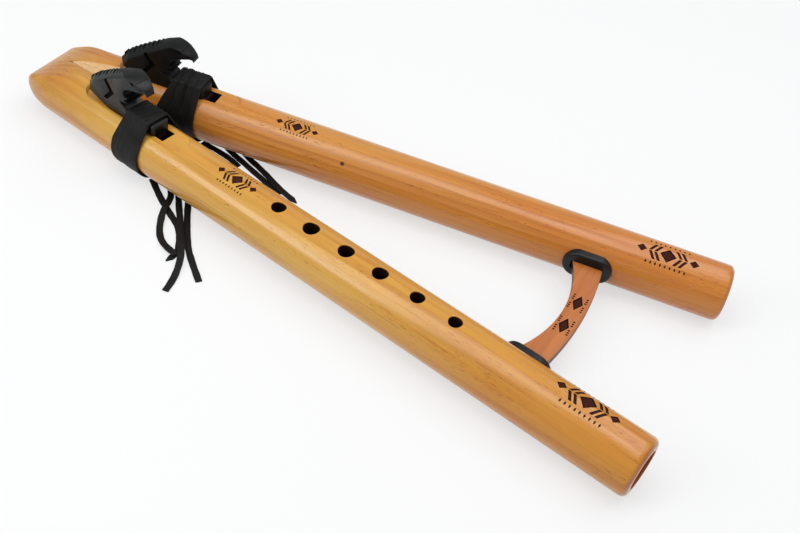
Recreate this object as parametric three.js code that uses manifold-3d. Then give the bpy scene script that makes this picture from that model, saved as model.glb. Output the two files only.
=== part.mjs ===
// Double flute: two end-blown flutes that share one mouthpiece and spread apart towards the foot.
// Millimetres, +Z up, mouth to foot along +X, the melody flute on -Y and the drone on +Y.
// The floor is z = 0, and x = 0 is half way between the mouth face and the farthest foot.

import * as THREE from 'three';
import { mergeVertices } from 'three/addons/utils/BufferGeometryUtils.js';
import Module from 'manifold-3d';

const wasm = await Module();
wasm.setup();

// Fits
const glueGap = 0.3;           // between the glued halves and along the mitre
const seatGap = 0.3;           // between a piece and what it sits on
const cutOverrun = 6;          // how far a cutter runs past the wood

// Tubes. A reach is a distance along a tube's axis from the apex, where both axes would meet.
const tubeRadius = 17.5;
const boreRadius = 11.1;
const footReach = 511.1;
const footSpacing = 150.5;     // between the two axes at the foot faces
const footEdgeRadius = 3.75;
const boreEdgeRadius = 0.6;

// Mouthpiece
const mouthReach = 51.8;
const mouthCornerLength = 28.5;  // each rounded corner's run back from the mouth face
const mouthCornerWidth = 7;
const lipHeight = 10;
const noseLength = 46.3;

// Air way, from the mouth on
const breathHoleRadius = 3.5;
const breathHoleLength = 36.2;
const slowChamberLength = 64;
const chamberCornerRadius = 4;
const plugLength = 13;
const exitLength = 6;
const exitInset = 1;           // from the exit hole's far side to the end of the slow chamber
const flueDepth = 1;
const windwayWidth = 10.4;
const soundHoleInset = 1.1;    // from the start of the sound chamber to the sound hole
const soundHoleLength = 6.5;
const splittingLip = 0.7;      // wood left above the ramp at the splitting edge
const rampLength = 8.5;
const rampDrop = 5.5;

// Nest, the flat that the block sits on
const nestDepth = 2.3;
const nestCutterRadius = 9.5;
const nestLength = 84.5;
const nestFrontRun = 14.9;     // from the sound hole to the nest's front end

// Finger holes of the melody flute: place along the sound chamber, and diameter over the bore's
const fingerHoleShares = [
  [0.283, 0.401], [0.355, 0.450], [0.430, 0.437], [0.501, 0.428], [0.576, 0.387], [0.650, 0.365],
];

// Blocks, each a bird of prey's head over a neck that lies on the nest
const blockLength = 61.8;
const blockRise = 31.6;
const blockWidth = 13.6;
const melodyBlockOverhang = 0.4;   // of the neck's front end past the sound hole's near edge
const droneBlockOverhang = -1.1;
const neckFrontBevel = 1.6;
const neckTopBevel = 1.2;
const neckTopShare = 0.237;
const throatShare = 0.618;
// The head's side outline from the rear of the seat, as shares of length and rise
const headOutlineShares = [
  [0.361, 0], [1, 0], [1, neckTopShare], [throatShare, neckTopShare],
  [0.521, 0.354], [0.644, 0.415], [0.587, 0.437], [0.647, 0.513], [0.592, 0.532],
  [0.586, 0.611], [0.610, 0.696], [0.663, 0.747], [0.741, 0.782], [0.819, 0.797],
  [0.850, 0.782], [0.861, 0.725], [0.871, 0.763], [0.856, 0.826], [0.817, 0.889],
  [0.764, 0.940], [0.717, 0.978], [0.659, 1], [0.602, 0.997], [0.539, 0.984],
  [0.482, 0.956], [0.337, 0.807], [0.202, 0.636], [0.123, 0.538], [0.057, 0.421],
  [0, 0.316], [0.028, 0.244], [0.074, 0.187], [0.150, 0.127], [0.243, 0.070],
];
// Three corners of each bevel, as shares of length, half width and rise
const crestBevelShares = [[0.189, 1, 0.462], [0.557, 1, 0.915], [0.337, 0.147, 0.807]];
const rearBevelShares = [[0.079, 1, 0.184], [0.167, 1, 0.475], [0, 0.147, 0.316]];
// Plan of the beak, as shares of length and half width
const beakPlanShares = [[0.620, 1], [0.760, 0.820], [0.872, 0.400]];
const beakCutShare = 0.3;          // height over which the head narrows to the beak

// Straps, a leather band around each tube and its block's neck
const strapThickness = 1.6;
const strapSetback = 2.1;          // from the strap's front edge to the sound hole
const strapFoldRadius = 0.6;
const strapFlat = 0.3;             // pressed flat on the floor
const strapEdgeRadius = 0.4;
const melodyStrapWidth = 22.5;
const melodyStrapTopWidth = 19.4;
const droneStrapWidth = 26.4;
const droneStrapTopWidth = 20.8;
const dronePleatHeight = 0.9;
const dronePleats = 3;

// Knots and laces
const knotRadius = 2.4;
const knotSpan = 8.4;              // between the end centres of each of a knot's two turns
const knotTurn = 0.55;             // each turn's angle from the tube's axis, in radians
const laceWidth = 4.2;
const laceThickness = 1.2;
const laceStep = 8;
const laceBevelShare = 0.6;        // of half the thickness, taken off each long edge

// Brace and collars
const braceReach = 428.4;          // to the brace's mouth side, half way between the flutes
const braceWidth = 12.4;
const braceThickness = 6;
const braceTop = 2.8;              // above the tube axes
const braceMouthRadius = 86;
const braceFootRadius = 217;
const braceTopEdge = 0.7;
const braceBottomEdge = 2.2;
const collarLength = 30.4;
const collarHeight = 18;
const collarEdge = 1.3;
const collarFaceOffset = 20.5;     // from the tube's axis to the collar's face

// Places that follow from the sizes
const splay = Math.asin(footSpacing / 2 / footReach);
const axisHeight = tubeRadius + seatGap + strapThickness - strapFlat;
const slowStart = mouthReach + breathHoleLength;
const slowEnd = slowStart + slowChamberLength;
const chamberStart = slowEnd + plugLength;
const chamberLength = footReach - chamberStart;
const exitEnd = slowEnd - exitInset;
const soundHoleStart = chamberStart + soundHoleInset;
const soundHoleEnd = soundHoleStart + soundHoleLength;
const nestHeight = tubeRadius - nestDepth;
const nestEnd = soundHoleEnd + nestFrontRun;
const blockSeat = nestHeight + seatGap;
const neckTop = blockSeat + neckTopShare * blockRise;
const strapFront = soundHoleStart - strapSetback;
const knotHeight = seatGap + knotRadius;
const knotOffset = Math.sqrt((tubeRadius + seatGap + knotRadius) ** 2 - (axisHeight - knotHeight) ** 2)
  + knotSpan / 2 * Math.sin(knotTurn);
const footRimReach = (footReach - footEdgeRadius) * Math.cos(splay)
  + (tubeRadius - footEdgeRadius) * Math.sin(splay) + footEdgeRadius;
const middle = (mouthReach + footRimReach) / 2;

// Fineness of the round shapes
const tubeSides = 48;
const holeSides = 24;
const edgeSteps = 4;
const noseSteps = 7;
const cornerSteps = 5;
const braceSteps = 20;
const braceEdgeSteps = 3;

// Solids from geometry, and back

function toSolid(geometry) {
  const bare = geometry.clone();
  bare.deleteAttribute('normal');
  bare.deleteAttribute('uv');
  const merged = mergeVertices(bare);
  const corners = merged.index.array;
  const faces = [];
  for (let i = 0; i < corners.length; i += 3) {
    const [a, b, c] = corners.slice(i, i + 3);
    if (a !== b && b !== c && c !== a) faces.push(a, b, c);
  }
  return new wasm.Manifold(new wasm.Mesh({
    numProp: 3,
    vertProperties: Float32Array.from(merged.attributes.position.array),
    triVerts: Uint32Array.from(faces),
  }));
}

function toGeometry(solid) {
  const mesh = solid.getMesh();
  const geometry = new THREE.BufferGeometry();
  geometry.setAttribute('position', new THREE.Float32BufferAttribute(mesh.vertProperties, 3));
  geometry.setIndex(Array.from(mesh.triVerts));
  geometry.computeVertexNormals();
  return geometry;
}

// The same shape on the other side of the plane y = 0, with its faces still pointing out
function mirrored(geometry) {
  const copy = geometry.clone().scale(1, -1, 1);
  const flipped = copy.index ? Array.from(copy.index.array)
    : Array.from({ length: copy.attributes.position.count }, (_, i) => i);
  for (let i = 0; i < flipped.length; i += 3) {
    [flipped[i], flipped[i + 1]] = [flipped[i + 1], flipped[i]];
  }
  copy.setIndex(flipped);
  return copy;
}

// A body through closed rings of equally many points, capped at its ends or joined to a loop
function loft(rings, looped = false) {
  const count = rings[0].length;
  const spans = looped ? rings.length : rings.length - 1;
  const faces = [];
  for (let i = 0; i < spans; i += 1) {
    const next = (i + 1) % rings.length;
    for (let j = 0; j < count; j += 1) {
      const k = (j + 1) % count;
      faces.push(i * count + j, i * count + k, next * count + k);
      faces.push(i * count + j, next * count + k, next * count + j);
    }
  }
  if (!looped) {
    const last = (rings.length - 1) * count;
    for (let j = 1; j < count - 1; j += 1) {
      faces.push(0, j + 1, j);
      faces.push(last, last + j, last + j + 1);
    }
  }
  const geometry = new THREE.BufferGeometry().setFromPoints(rings.flat());
  geometry.setIndex(faces);
  return geometry;
}

// Simple shapes in a flute's own frame: x along its axis from the apex, y outwards, z up

function box(from, to) {
  const size = new THREE.Vector3().subVectors(to, from);
  const centre = new THREE.Vector3().addVectors(from, to).multiplyScalar(1 / 2);
  return new THREE.BoxGeometry(size.x, size.y, size.z).translate(centre.x, centre.y, centre.z);
}

function slot(start, end, width, bottom, top) {
  return box(new THREE.Vector3(start, -width / 2, bottom), new THREE.Vector3(end, width / 2, top));
}

function rod(radius, start, end) {
  return new THREE.CylinderGeometry(radius, radius, end - start, tubeSides)
    .rotateZ(Math.PI / 2).translate((start + end) / 2, 0, 0);
}

function turned(profile) {
  return new THREE.LatheGeometry(profile.getPoints(edgeSteps), tubeSides).rotateZ(-Math.PI / 2);
}

// A block that removes all on the side of a plane that its normal points to, for a short way
function planeCutter(point, normal, size) {
  const toNormal = new THREE.Quaternion().setFromUnitVectors(new THREE.Vector3(0, 0, 1), normal);
  return new THREE.BoxGeometry(size, size, size).translate(0, 0, size / 2)
    .applyQuaternion(toNormal).translate(point.x, point.y, point.z);
}

// Wood of one flute

function tubeBlank() {
  const start = mouthReach - tubeRadius;
  const profile = new THREE.Path();
  profile.moveTo(0, start);
  profile.lineTo(tubeRadius, start);
  profile.lineTo(tubeRadius, footReach - footEdgeRadius);
  profile.absarc(tubeRadius - footEdgeRadius, footReach - footEdgeRadius, footEdgeRadius, 0, Math.PI / 2);
  profile.lineTo(0, footReach);
  return turned(profile);
}

function slowChamber() {
  const inner = boreRadius - chamberCornerRadius;
  const profile = new THREE.Path();
  profile.moveTo(0, slowStart);
  profile.lineTo(inner, slowStart);
  profile.absarc(inner, slowStart + chamberCornerRadius, chamberCornerRadius, -Math.PI / 2, 0);
  profile.lineTo(boreRadius, slowEnd - chamberCornerRadius);
  profile.absarc(inner, slowEnd - chamberCornerRadius, chamberCornerRadius, 0, Math.PI / 2);
  profile.lineTo(0, slowEnd);
  return turned(profile);
}

function soundChamber() {
  const profile = new THREE.Path();
  profile.moveTo(0, chamberStart);
  profile.lineTo(boreRadius, chamberStart);
  profile.lineTo(boreRadius, footReach - boreEdgeRadius);
  profile.lineTo(boreRadius + boreEdgeRadius, footReach);
  profile.lineTo(boreRadius + boreEdgeRadius, footReach + cutOverrun);
  profile.lineTo(0, footReach + cutOverrun);
  return turned(profile);
}

// The flat for the block, left by a round cutter run along the top of the tube
function nestCut() {
  const rear = nestEnd - nestLength + nestCutterRadius;
  const front = nestEnd - nestCutterRadius;
  const plan = new THREE.Shape();
  plan.absarc(front, 0, nestCutterRadius, -Math.PI / 2, Math.PI / 2);
  plan.absarc(rear, 0, nestCutterRadius, Math.PI / 2, 3 * Math.PI / 2);
  return new THREE.ExtrudeGeometry(plan, {
    depth: nestDepth + cutOverrun, bevelEnabled: false, curveSegments: holeSides / 2,
  }).translate(0, 0, nestHeight);
}

// The slope under the splitting edge, cut from the sound hole towards the foot
function rampCut() {
  const edgeHeight = nestHeight - splittingLip;
  const side = new THREE.Shape();
  side.moveTo(soundHoleStart, edgeHeight);
  side.lineTo(soundHoleStart, edgeHeight - rampDrop);
  side.lineTo(soundHoleEnd + rampLength, edgeHeight - rampDrop);
  side.lineTo(soundHoleEnd, edgeHeight);
  return new THREE.ExtrudeGeometry(side, { depth: windwayWidth, bevelEnabled: false })
    .rotateX(Math.PI / 2).translate(0, windwayWidth / 2, 0);
}

function fingerHole(placeShare, diameterShare) {
  const radius = diameterShare * boreRadius;
  const height = tubeRadius + cutOverrun;
  return new THREE.CylinderGeometry(radius, radius, height, holeSides)
    .rotateX(Math.PI / 2).translate(chamberStart + placeShare * chamberLength, 0, height / 2);
}

// What the mouthpiece is shaped to, about the whole instrument's middle line: a blunt lip whose
// corners are quarters of an oval, and a nose that rises from it to the tubes' full height, steeply
// at first and level in the end
function mouthEnvelope() {
  const far = footReach + tubeRadius + cutOverrun;
  const plan = (inset, z) => {
    const corner = (side) => Array.from({ length: cornerSteps + 1 }, (_, i) => {
      const angle = (Math.PI / 2) * (i / cornerSteps);
      const x = mouthReach + inset + mouthCornerLength * (1 - Math.cos(angle));
      const y = tubeRadius / Math.cos(splay) + x * Math.tan(splay);
      return new THREE.Vector3(x, side * (y - mouthCornerWidth * (1 - Math.sin(angle))), z);
    });
    return [
      ...corner(1).reverse(), ...corner(-1),
      new THREE.Vector3(far, -footSpacing, z), new THREE.Vector3(far, footSpacing, z),
    ];
  };
  const nose = Array.from({ length: noseSteps + 1 }, (_, i) => {
    const share = i / noseSteps;
    return [noseLength * share, tubeRadius - (tubeRadius - lipHeight / 2) * (1 - share) ** 2];
  });
  const top = [...nose, [noseLength, tubeRadius + cutOverrun]];
  const bottom = top.map(([inset, height]) => [inset, -height]).reverse();
  return loft([...bottom, ...top].map(([inset, height]) => plan(inset, height)));
}

function fluteWood(fingerHoles) {
  const cuts = [
    slowChamber(),
    soundChamber(),
    rod(breathHoleRadius, mouthReach - tubeRadius - cutOverrun, slowStart + chamberCornerRadius),
    nestCut(),
    slot(exitEnd - exitLength, exitEnd, windwayWidth, 0, tubeRadius),
    slot(exitEnd - exitLength, soundHoleEnd, windwayWidth, nestHeight - flueDepth, tubeRadius),
    slot(soundHoleStart, soundHoleEnd, windwayWidth, 0, tubeRadius + cutOverrun),
    rampCut(),
    ...fingerHoles.map(([place, diameter]) => fingerHole(place, diameter)),
  ];
  let wood = toSolid(tubeBlank()).intersect(toSolid(mouthEnvelope().rotateZ(-splay)));
  for (const cut of cuts) wood = wood.subtract(toSolid(cut));
  const acrossMitre = box(
    new THREE.Vector3(-footReach, -footSpacing, -footSpacing),
    new THREE.Vector3(2 * footReach, glueGap / 2, footSpacing),
  );
  return wood.subtract(toSolid(acrossMitre.rotateZ(-splay)));
}

function half(wood, side) {
  const length = 2 * footReach;
  const other = slot(-length, length, footSpacing, -footSpacing, glueGap / 2);
  if (side === 'lower') other.rotateX(Math.PI);
  return toGeometry(wood.subtract(toSolid(other)));
}

// Block

function blockGeometry(overhang) {
  const front = soundHoleStart + overhang;
  const rear = front - blockLength;
  const place = ([along, across, up]) => new THREE.Vector3(
    rear + along * blockLength, across * blockWidth / 2, blockSeat + up * blockRise,
  );
  const outline = new THREE.Shape(headOutlineShares.map(
    ([along, up]) => new THREE.Vector2(rear + along * blockLength, blockSeat + up * blockRise),
  ));
  const slab = new THREE.ExtrudeGeometry(outline, { depth: blockWidth, bevelEnabled: false })
    .rotateX(Math.PI / 2).translate(0, blockWidth / 2, 0);

  const bevel = (shares) => {
    const plane = new THREE.Plane().setFromCoplanarPoints(...shares.map(place));
    if (plane.normal.y < 0) plane.negate();
    return planeCutter(place(shares[0]), plane.normal, 2 * blockLength);
  };
  const beakSide = () => {
    const plan = new THREE.Shape(beakPlanShares.map(
      ([along, across]) => new THREE.Vector2(rear + along * blockLength, across * blockWidth / 2),
    ));
    plan.lineTo(front, blockWidth / 2 + cutOverrun);
    plan.lineTo(rear + beakPlanShares[0][0] * blockLength, blockWidth / 2 + cutOverrun);
    return new THREE.ExtrudeGeometry(plan, { depth: blockRise, bevelEnabled: false })
      .translate(0, 0, blockSeat + beakCutShare * blockRise);
  };
  const neckFront = planeCutter(
    new THREE.Vector3(front - neckFrontBevel, blockWidth / 2, blockSeat),
    new THREE.Vector3(1, 1, 0).normalize(), blockWidth,
  );
  const neckSide = new THREE.BoxGeometry(front - rear, 2 * neckTopBevel, 2 * neckTopBevel)
    .translate(0, 0, neckTopBevel).rotateX(-Math.PI / 4)
    .translate(
      rear + (throatShare + 1) * blockLength - (front - rear) / 2,
      blockWidth / 2 - neckTopBevel / 2, neckTop - neckTopBevel / 2,
    );
  let block = toSolid(slab);
  for (const cut of [bevel(crestBevelShares), bevel(rearBevelShares), beakSide(), neckFront, neckSide]) {
    block = block.subtract(toSolid(cut)).subtract(toSolid(mirrored(cut)));
  }
  const neckEnd = planeCutter(
    new THREE.Vector3(front - neckTopBevel, 0, neckTop),
    new THREE.Vector3(1, 0, 1).normalize(), blockWidth,
  );
  return toGeometry(block.subtract(toSolid(neckEnd)));
}

// Strap

// The inside of a taut band around the tube and the neck, from the bottom round by the outer side
function strapPath() {
  const inner = tubeRadius + seatGap;
  const fold = new THREE.Vector2(
    blockWidth / 2 + seatGap - strapFoldRadius, neckTop + seatGap - strapFoldRadius,
  );
  const leave = fold.angle() - Math.acos((inner - strapFoldRadius) / fold.length());
  const station = (centre, radius, angle) => {
    const normal = new THREE.Vector2(Math.cos(angle), Math.sin(angle));
    return { point: normal.clone().multiplyScalar(radius).add(centre), normal };
  };
  const origin = new THREE.Vector2(0, 0);
  const outerSide = [];
  const around = tubeSides / 4;
  for (let i = 0; i <= around; i += 1) {
    outerSide.push(station(origin, inner, -Math.PI / 2 + (leave + Math.PI / 2) * (i / around)));
  }
  const from = outerSide[outerSide.length - 1];
  const to = station(fold, strapFoldRadius, leave);
  for (let i = 1; i < edgeSteps; i += 1) {
    outerSide.push({ point: from.point.clone().lerp(to.point, i / edgeSteps), normal: from.normal });
  }
  for (let i = 0; i <= edgeSteps; i += 1) {
    outerSide.push(station(fold, strapFoldRadius, leave + (Math.PI / 2 - leave) * (i / edgeSteps)));
  }
  const innerSide = outerSide.slice(1).reverse().map(({ point, normal }) => ({
    point: new THREE.Vector2(-point.x, point.y), normal: new THREE.Vector2(-normal.x, normal.y),
  }));
  return [...outerSide, ...innerSide];
}

function strapGeometry(width, topWidth, pleats) {
  const outerSteps = Math.max(4 * pleats, 2);
  const straightFrom = nestHeight / 2;
  const rings = strapPath().map(({ point, normal }) => {
    const climb = THREE.MathUtils.smoothstep(point.y, straightFrom, neckTop - strapFoldRadius);
    const rear = strapFront - THREE.MathUtils.lerp(width, topWidth, climb);
    const at = (s, out) => new THREE.Vector3(s, point.x + normal.x * out, point.y + normal.y * out);
    const outer = Array.from({ length: outerSteps + 1 }, (_, i) => {
      const share = i / outerSteps;
      const swell = dronePleatHeight * (1 - Math.cos(2 * Math.PI * pleats * share)) / 2;
      const s = THREE.MathUtils.lerp(strapFront - strapEdgeRadius, rear + strapEdgeRadius, share);
      return at(s, strapThickness + (normal.y > 0 ? swell * normal.y : 0));
    });
    return [
      at(rear, 0), at(strapFront, 0), at(strapFront, strapThickness - strapEdgeRadius),
      ...outer, at(rear, strapThickness - strapEdgeRadius),
    ];
  });
  const floor = slot(0, footReach, footSpacing, -footSpacing, -axisHeight);
  return toGeometry(toSolid(loft(rings, true)).subtract(toSolid(floor)));
}

// A flat knot of two crossing turns, low beside the tube and against the strap's front edge
function knotGeometry(side) {
  const turn = () => new THREE.CapsuleGeometry(knotRadius, knotSpan, edgeSteps, holeSides / 2)
    .rotateZ(Math.PI / 2);
  const reach = strapFront + seatGap + knotRadius + knotSpan / 2 * Math.cos(knotTurn);
  const knot = toSolid(turn().rotateZ(knotTurn)).add(toSolid(turn().rotateZ(-knotTurn)));
  return toGeometry(knot)
    .translate(reach, side * knotOffset, knotHeight - axisHeight);
}

// Laces: flat leather thongs. Routes are in millimetres from the apex, and up from the floor.
const laceRoutes = {
  melody_lace_1: [
    [161.9, -31.9, 0.7], [166.1, -35, 0.7], [170.3, -38.1, 0.7], [174.6, -41.1, 0.7],
    [179, -44, 0.7], [183.4, -46.7, 0.7], [188, -49.3, 0.7], [192.5, -51.9, 0.7],
    [197, -54.4, 0.7], [201.5, -57.3, 0.7], [205.2, -61, 0.7], [208.5, -65.1, 0.7],
    [211.5, -69.4, 0.7], [213.9, -74, 0.7], [214.3, -79, 0.7], [213.4, -84.2, 0.7],
  ],
  melody_lace_2: [
    [166.4, -15.6, 0.7], [168.3, -20.9, 0.7], [171.1, -25.7, 0.7], [174.5, -30.1, 0.7],
    [178.3, -34.3, 0.7], [181.6, -38.8, 1.3], [183.9, -43.7, 2.3], [185.6, -48.9, 2.6],
    [187.5, -54.1, 2.2], [190, -59, 1.5], [192.9, -63.8, 0.9], [196.4, -68.2, 0.7],
    [200.5, -71.9, 1], [205.2, -74.7, 1.6], [210.4, -76.7, 2.3], [215.8, -78, 2.3],
  ],
  melody_lace_3: [
    [173.5, -16.8, 0.7], [175.7, -22.5, 0.7], [179.1, -27.6, 0.7], [182.8, -32.4, 0.7],
    [186.6, -37.3, 0.7], [190.4, -42, 1.2], [194.4, -46.7, 1.9], [198.4, -51.3, 2.3],
    [202.2, -56.1, 2.3], [206, -60.9, 2.4], [210, -65.6, 2.8], [213.8, -70.2, 3.7],
    [217.6, -75.1, 4], [220.8, -80.2, 3.4], [223.3, -85.7, 2.1], [225.3, -91.4, 1],
    [226.8, -97.3, 0.7], [228, -103.3, 0.7],
  ],
  melody_lace_4: [
    [177.4, -12.5, 0.7], [181.2, -17.1, 0.7], [184.6, -22.2, 0.7], [187.7, -27.4, 0.7],
    [190.8, -32.6, 0.7], [194.1, -37.7, 0.7], [197.5, -42.7, 0.7], [201, -47.6, 0.7],
    [204.6, -52.5, 0.7], [208.3, -57.2, 0.7], [212.1, -62, 0.7], [216, -66.6, 0.7],
    [220.2, -70.9, 0.7], [224.8, -74.9, 0.7], [229.4, -78.8, 0.7], [234.1, -82.6, 0.7],
    [238.8, -86.4, 0.7],
  ],
  drone_lace_1: [
    [164.4, 16.9, 0.7], [166.6, 16.8, 0.7], [168.8, 16.7, 0.7], [171, 16.5, 0.7],
    [173.2, 16.4, 0.7], [175.4, 16.2, 0.7], [177.6, 16, 0.7], [179.8, 15.7, 0.7],
    [182, 15.4, 0.7], [184.2, 15.1, 0.7], [186.4, 14.7, 0.7], [188.6, 14.2, 0.7],
    [190.7, 13.6, 0.7], [192.8, 12.9, 0.7], [194.9, 12.2, 0.7], [197, 11.5, 0.7],
  ],
  drone_lace_2: [
    [164.4, 33, 0.7], [168.4, 30, 0.7], [172.6, 27.2, 0.7], [176.8, 24.6, 0.7],
    [181.2, 22.2, 0.7], [185.8, 20.2, 0.7], [190.5, 18.6, 0.7], [195.3, 17.2, 0.7],
    [200, 15.7, 0.7], [204.8, 14.1, 0.7], [209.5, 12.6, 0.7], [214.3, 11.1, 0.7],
    [219, 9.5, 0.7], [223.8, 7.9, 0.7], [228.5, 6.2, 0.7], [233.2, 4.6, 0.7],
  ],
  drone_lace_3: [
    [172, 34.1, 0.7], [176.9, 32, 0.7], [181.9, 29.7, 0.7], [186.7, 27.5, 0.7],
    [191.6, 25.2, 0.7], [196.5, 22.9, 0.7], [201.5, 20.9, 0.8], [206.6, 19, 1.1],
    [211.5, 16.9, 1.4], [216.4, 14.6, 1.9], [221.2, 12.3, 2.2], [226.2, 10.1, 2.3],
    [231.2, 8.1, 2.2], [236.3, 6.5, 2.1], [241.5, 5.3, 1.7], [246.8, 4.1, 1.4],
  ],
};

// An eight-sided section, thin across x and wide across y
function laceSection() {
  const side = laceWidth / 2;
  const face = laceThickness / 2;
  const flat = face * laceBevelShare;
  const quarter = [[face, side - flat], [flat, side]];
  const half = [...quarter, ...quarter.map(([x, y]) => [-x, y]).reverse()];
  const outline = [...half, ...half.map(([x, y]) => [-x, -y])];
  return new THREE.Shape(outline.map(([x, y]) => new THREE.Vector2(x, y)));
}

function laceGeometry(route) {
  const path = new THREE.CatmullRomCurve3(
    route.map(([x, y, z]) => new THREE.Vector3(x, y, z)), false, 'centripetal',
  );
  const steps = Math.round(path.getLength() / laceStep);
  const lace = new THREE.ExtrudeGeometry(laceSection(), { steps, extrudePath: path, bevelEnabled: false });
  return toGeometry(toSolid(lace));
}

// Brace

// The brace's mouth and foot edges at a distance y from the middle line, from the apex
function braceEdges(y) {
  const mouthCentre = braceReach - braceMouthRadius;
  const footCentre = braceReach + braceWidth - braceFootRadius;
  return [
    mouthCentre + Math.sqrt(braceMouthRadius ** 2 - y ** 2),
    footCentre + Math.sqrt(braceFootRadius ** 2 - y ** 2),
  ];
}

// The brace before its ends are fitted to the tubes, each face moved out by a clearance
function braceBlank(clearance) {
  const reachAcross = (braceReach + braceWidth) * Math.sin(splay);
  const ring = (y) => {
    const [mouthEdge, footEdge] = braceEdges(y);
    const low = mouthEdge - clearance;
    const high = footEdge + clearance;
    const top = braceTop + clearance;
    const bottom = braceTop - braceThickness - clearance;
    const at = (x, z) => new THREE.Vector3(x, y, z);
    const lowCorner = (x, inward) => Array.from({ length: braceEdgeSteps + 1 }, (_, i) => {
      const angle = (Math.PI / 2) * (i / braceEdgeSteps);
      return at(
        x + inward * braceBottomEdge * (1 - Math.cos(angle)),
        bottom + braceBottomEdge * (1 - Math.sin(angle)),
      );
    });
    return [
      at(low, top - braceTopEdge), at(low + braceTopEdge, top),
      at(high - braceTopEdge, top), at(high, top - braceTopEdge),
      ...lowCorner(high, -1), ...lowCorner(low, 1).reverse(),
    ];
  };
  return loft(Array.from(
    { length: braceSteps + 1 }, (_, i) => ring(reachAcross * (2 * i / braceSteps - 1)),
  ));
}

function braceGeometry() {
  const socket = rod(tubeRadius + seatGap, 0, footReach).rotateZ(splay);
  return toGeometry(
    toSolid(braceBlank(0)).subtract(toSolid(socket)).subtract(toSolid(mirrored(socket))),
  );
}

// Where along the tube a collar's face is centred on the brace's end, closed in on step by step
function collarReach() {
  let reach = braceReach;
  for (let i = 0; i < braceSteps; i += 1) {
    const y = reach * Math.sin(splay) - collarFaceOffset * Math.cos(splay);
    const [mouthEdge, footEdge] = braceEdges(y);
    reach = ((mouthEdge + footEdge) / 2 - collarFaceOffset * Math.sin(splay)) / Math.cos(splay);
  }
  return reach;
}

// A collar around the brace's end, its back fitted to the tube's inner side
function collarGeometry() {
  const end = collarHeight / 2 - collarEdge;
  const run = (collarLength - collarHeight) / 2;
  const face = new THREE.Shape();
  face.absarc(run, 0, end, -Math.PI / 2, Math.PI / 2);
  face.absarc(-run, 0, end, Math.PI / 2, 3 * Math.PI / 2);
  const depth = collarFaceOffset - boreRadius - collarEdge;
  const plate = new THREE.ExtrudeGeometry(face, {
    depth, bevelThickness: collarEdge, bevelSize: collarEdge, bevelSegments: 3,
    curveSegments: holeSides / 2,
  }).rotateX(Math.PI / 2).translate(collarReach(), -boreRadius, 0);
  return toGeometry(
    toSolid(plate)
      .subtract(toSolid(rod(tubeRadius + seatGap, 0, footReach)))
      .subtract(toSolid(braceBlank(seatGap).rotateZ(-splay))),
  );
}

// Materials
const honeyWood = new THREE.MeshStandardMaterial({ color: 0xe0b060, roughness: 0.35, metalness: 0 });
const amberWood = new THREE.MeshStandardMaterial({ color: 0xd08a3c, roughness: 0.35, metalness: 0 });
const redWood = new THREE.MeshStandardMaterial({ color: 0x8a4a2c, roughness: 0.5, metalness: 0 });
const blackWood = new THREE.MeshStandardMaterial({ color: 0x232526, roughness: 0.45, metalness: 0 });
const blackLeather = new THREE.MeshStandardMaterial({ color: 0x1c1917, roughness: 0.8, metalness: 0 });

// Assembly

const model = new THREE.Group();
const onFloor = new THREE.Group();
onFloor.position.x = -middle;
model.add(onFloor);
const onAxes = new THREE.Group();
onAxes.position.set(-middle, 0, axisHeight);
model.add(onAxes);

function add(group, name, geometry, material) {
  const mesh = new THREE.Mesh(geometry, material);
  mesh.name = name;
  group.add(mesh);
}

// Both flutes are made as the drone lies. The melody flute is the same, mirrored.
const flutes = [
  {
    name: 'drone', material: amberWood, turn: splay, laid: (geometry) => geometry,
    fingerHoles: [], overhang: droneBlockOverhang, knotSide: 1,
    strap: [droneStrapWidth, droneStrapTopWidth, dronePleats],
  },
  {
    name: 'melody', material: honeyWood, turn: -splay, laid: mirrored,
    fingerHoles: fingerHoleShares, overhang: melodyBlockOverhang, knotSide: -1,
    strap: [melodyStrapWidth, melodyStrapTopWidth, 0],
  },
];

for (const flute of flutes) {
  const group = new THREE.Group();
  group.rotation.z = flute.turn;
  onAxes.add(group);
  const { name, laid } = flute;
  const wood = fluteWood(flute.fingerHoles);
  add(group, `${name}_upper_half`, laid(half(wood, 'upper')), flute.material);
  add(group, `${name}_lower_half`, laid(half(wood, 'lower')), flute.material);
  add(group, `${name}_block`, laid(blockGeometry(flute.overhang)), blackWood);
  add(group, `${name}_strap`, laid(strapGeometry(...flute.strap)), blackLeather);
  add(group, `${name}_knot`, laid(knotGeometry(flute.knotSide)), blackLeather);
  add(group, `${name}_collar`, laid(collarGeometry()), blackWood);
}

add(onAxes, 'brace', braceGeometry(), redWood);

for (const [name, route] of Object.entries(laceRoutes)) {
  add(onFloor, name, laceGeometry(route), blackLeather);
}

export default model;
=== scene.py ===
"""Double flute: a melody flute and a drone flute on one mouthpiece, tied with black leather.

Metres, in the CAD model's frame: +X runs from the mouth to the feet, the melody flute is on -Y and
the drone on +Y, +Z is up and the straps lie on a pale floor at z = 0.
"""

import math

import bmesh
import bpy
import numpy as np
from mathutils import Matrix, Vector


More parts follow.
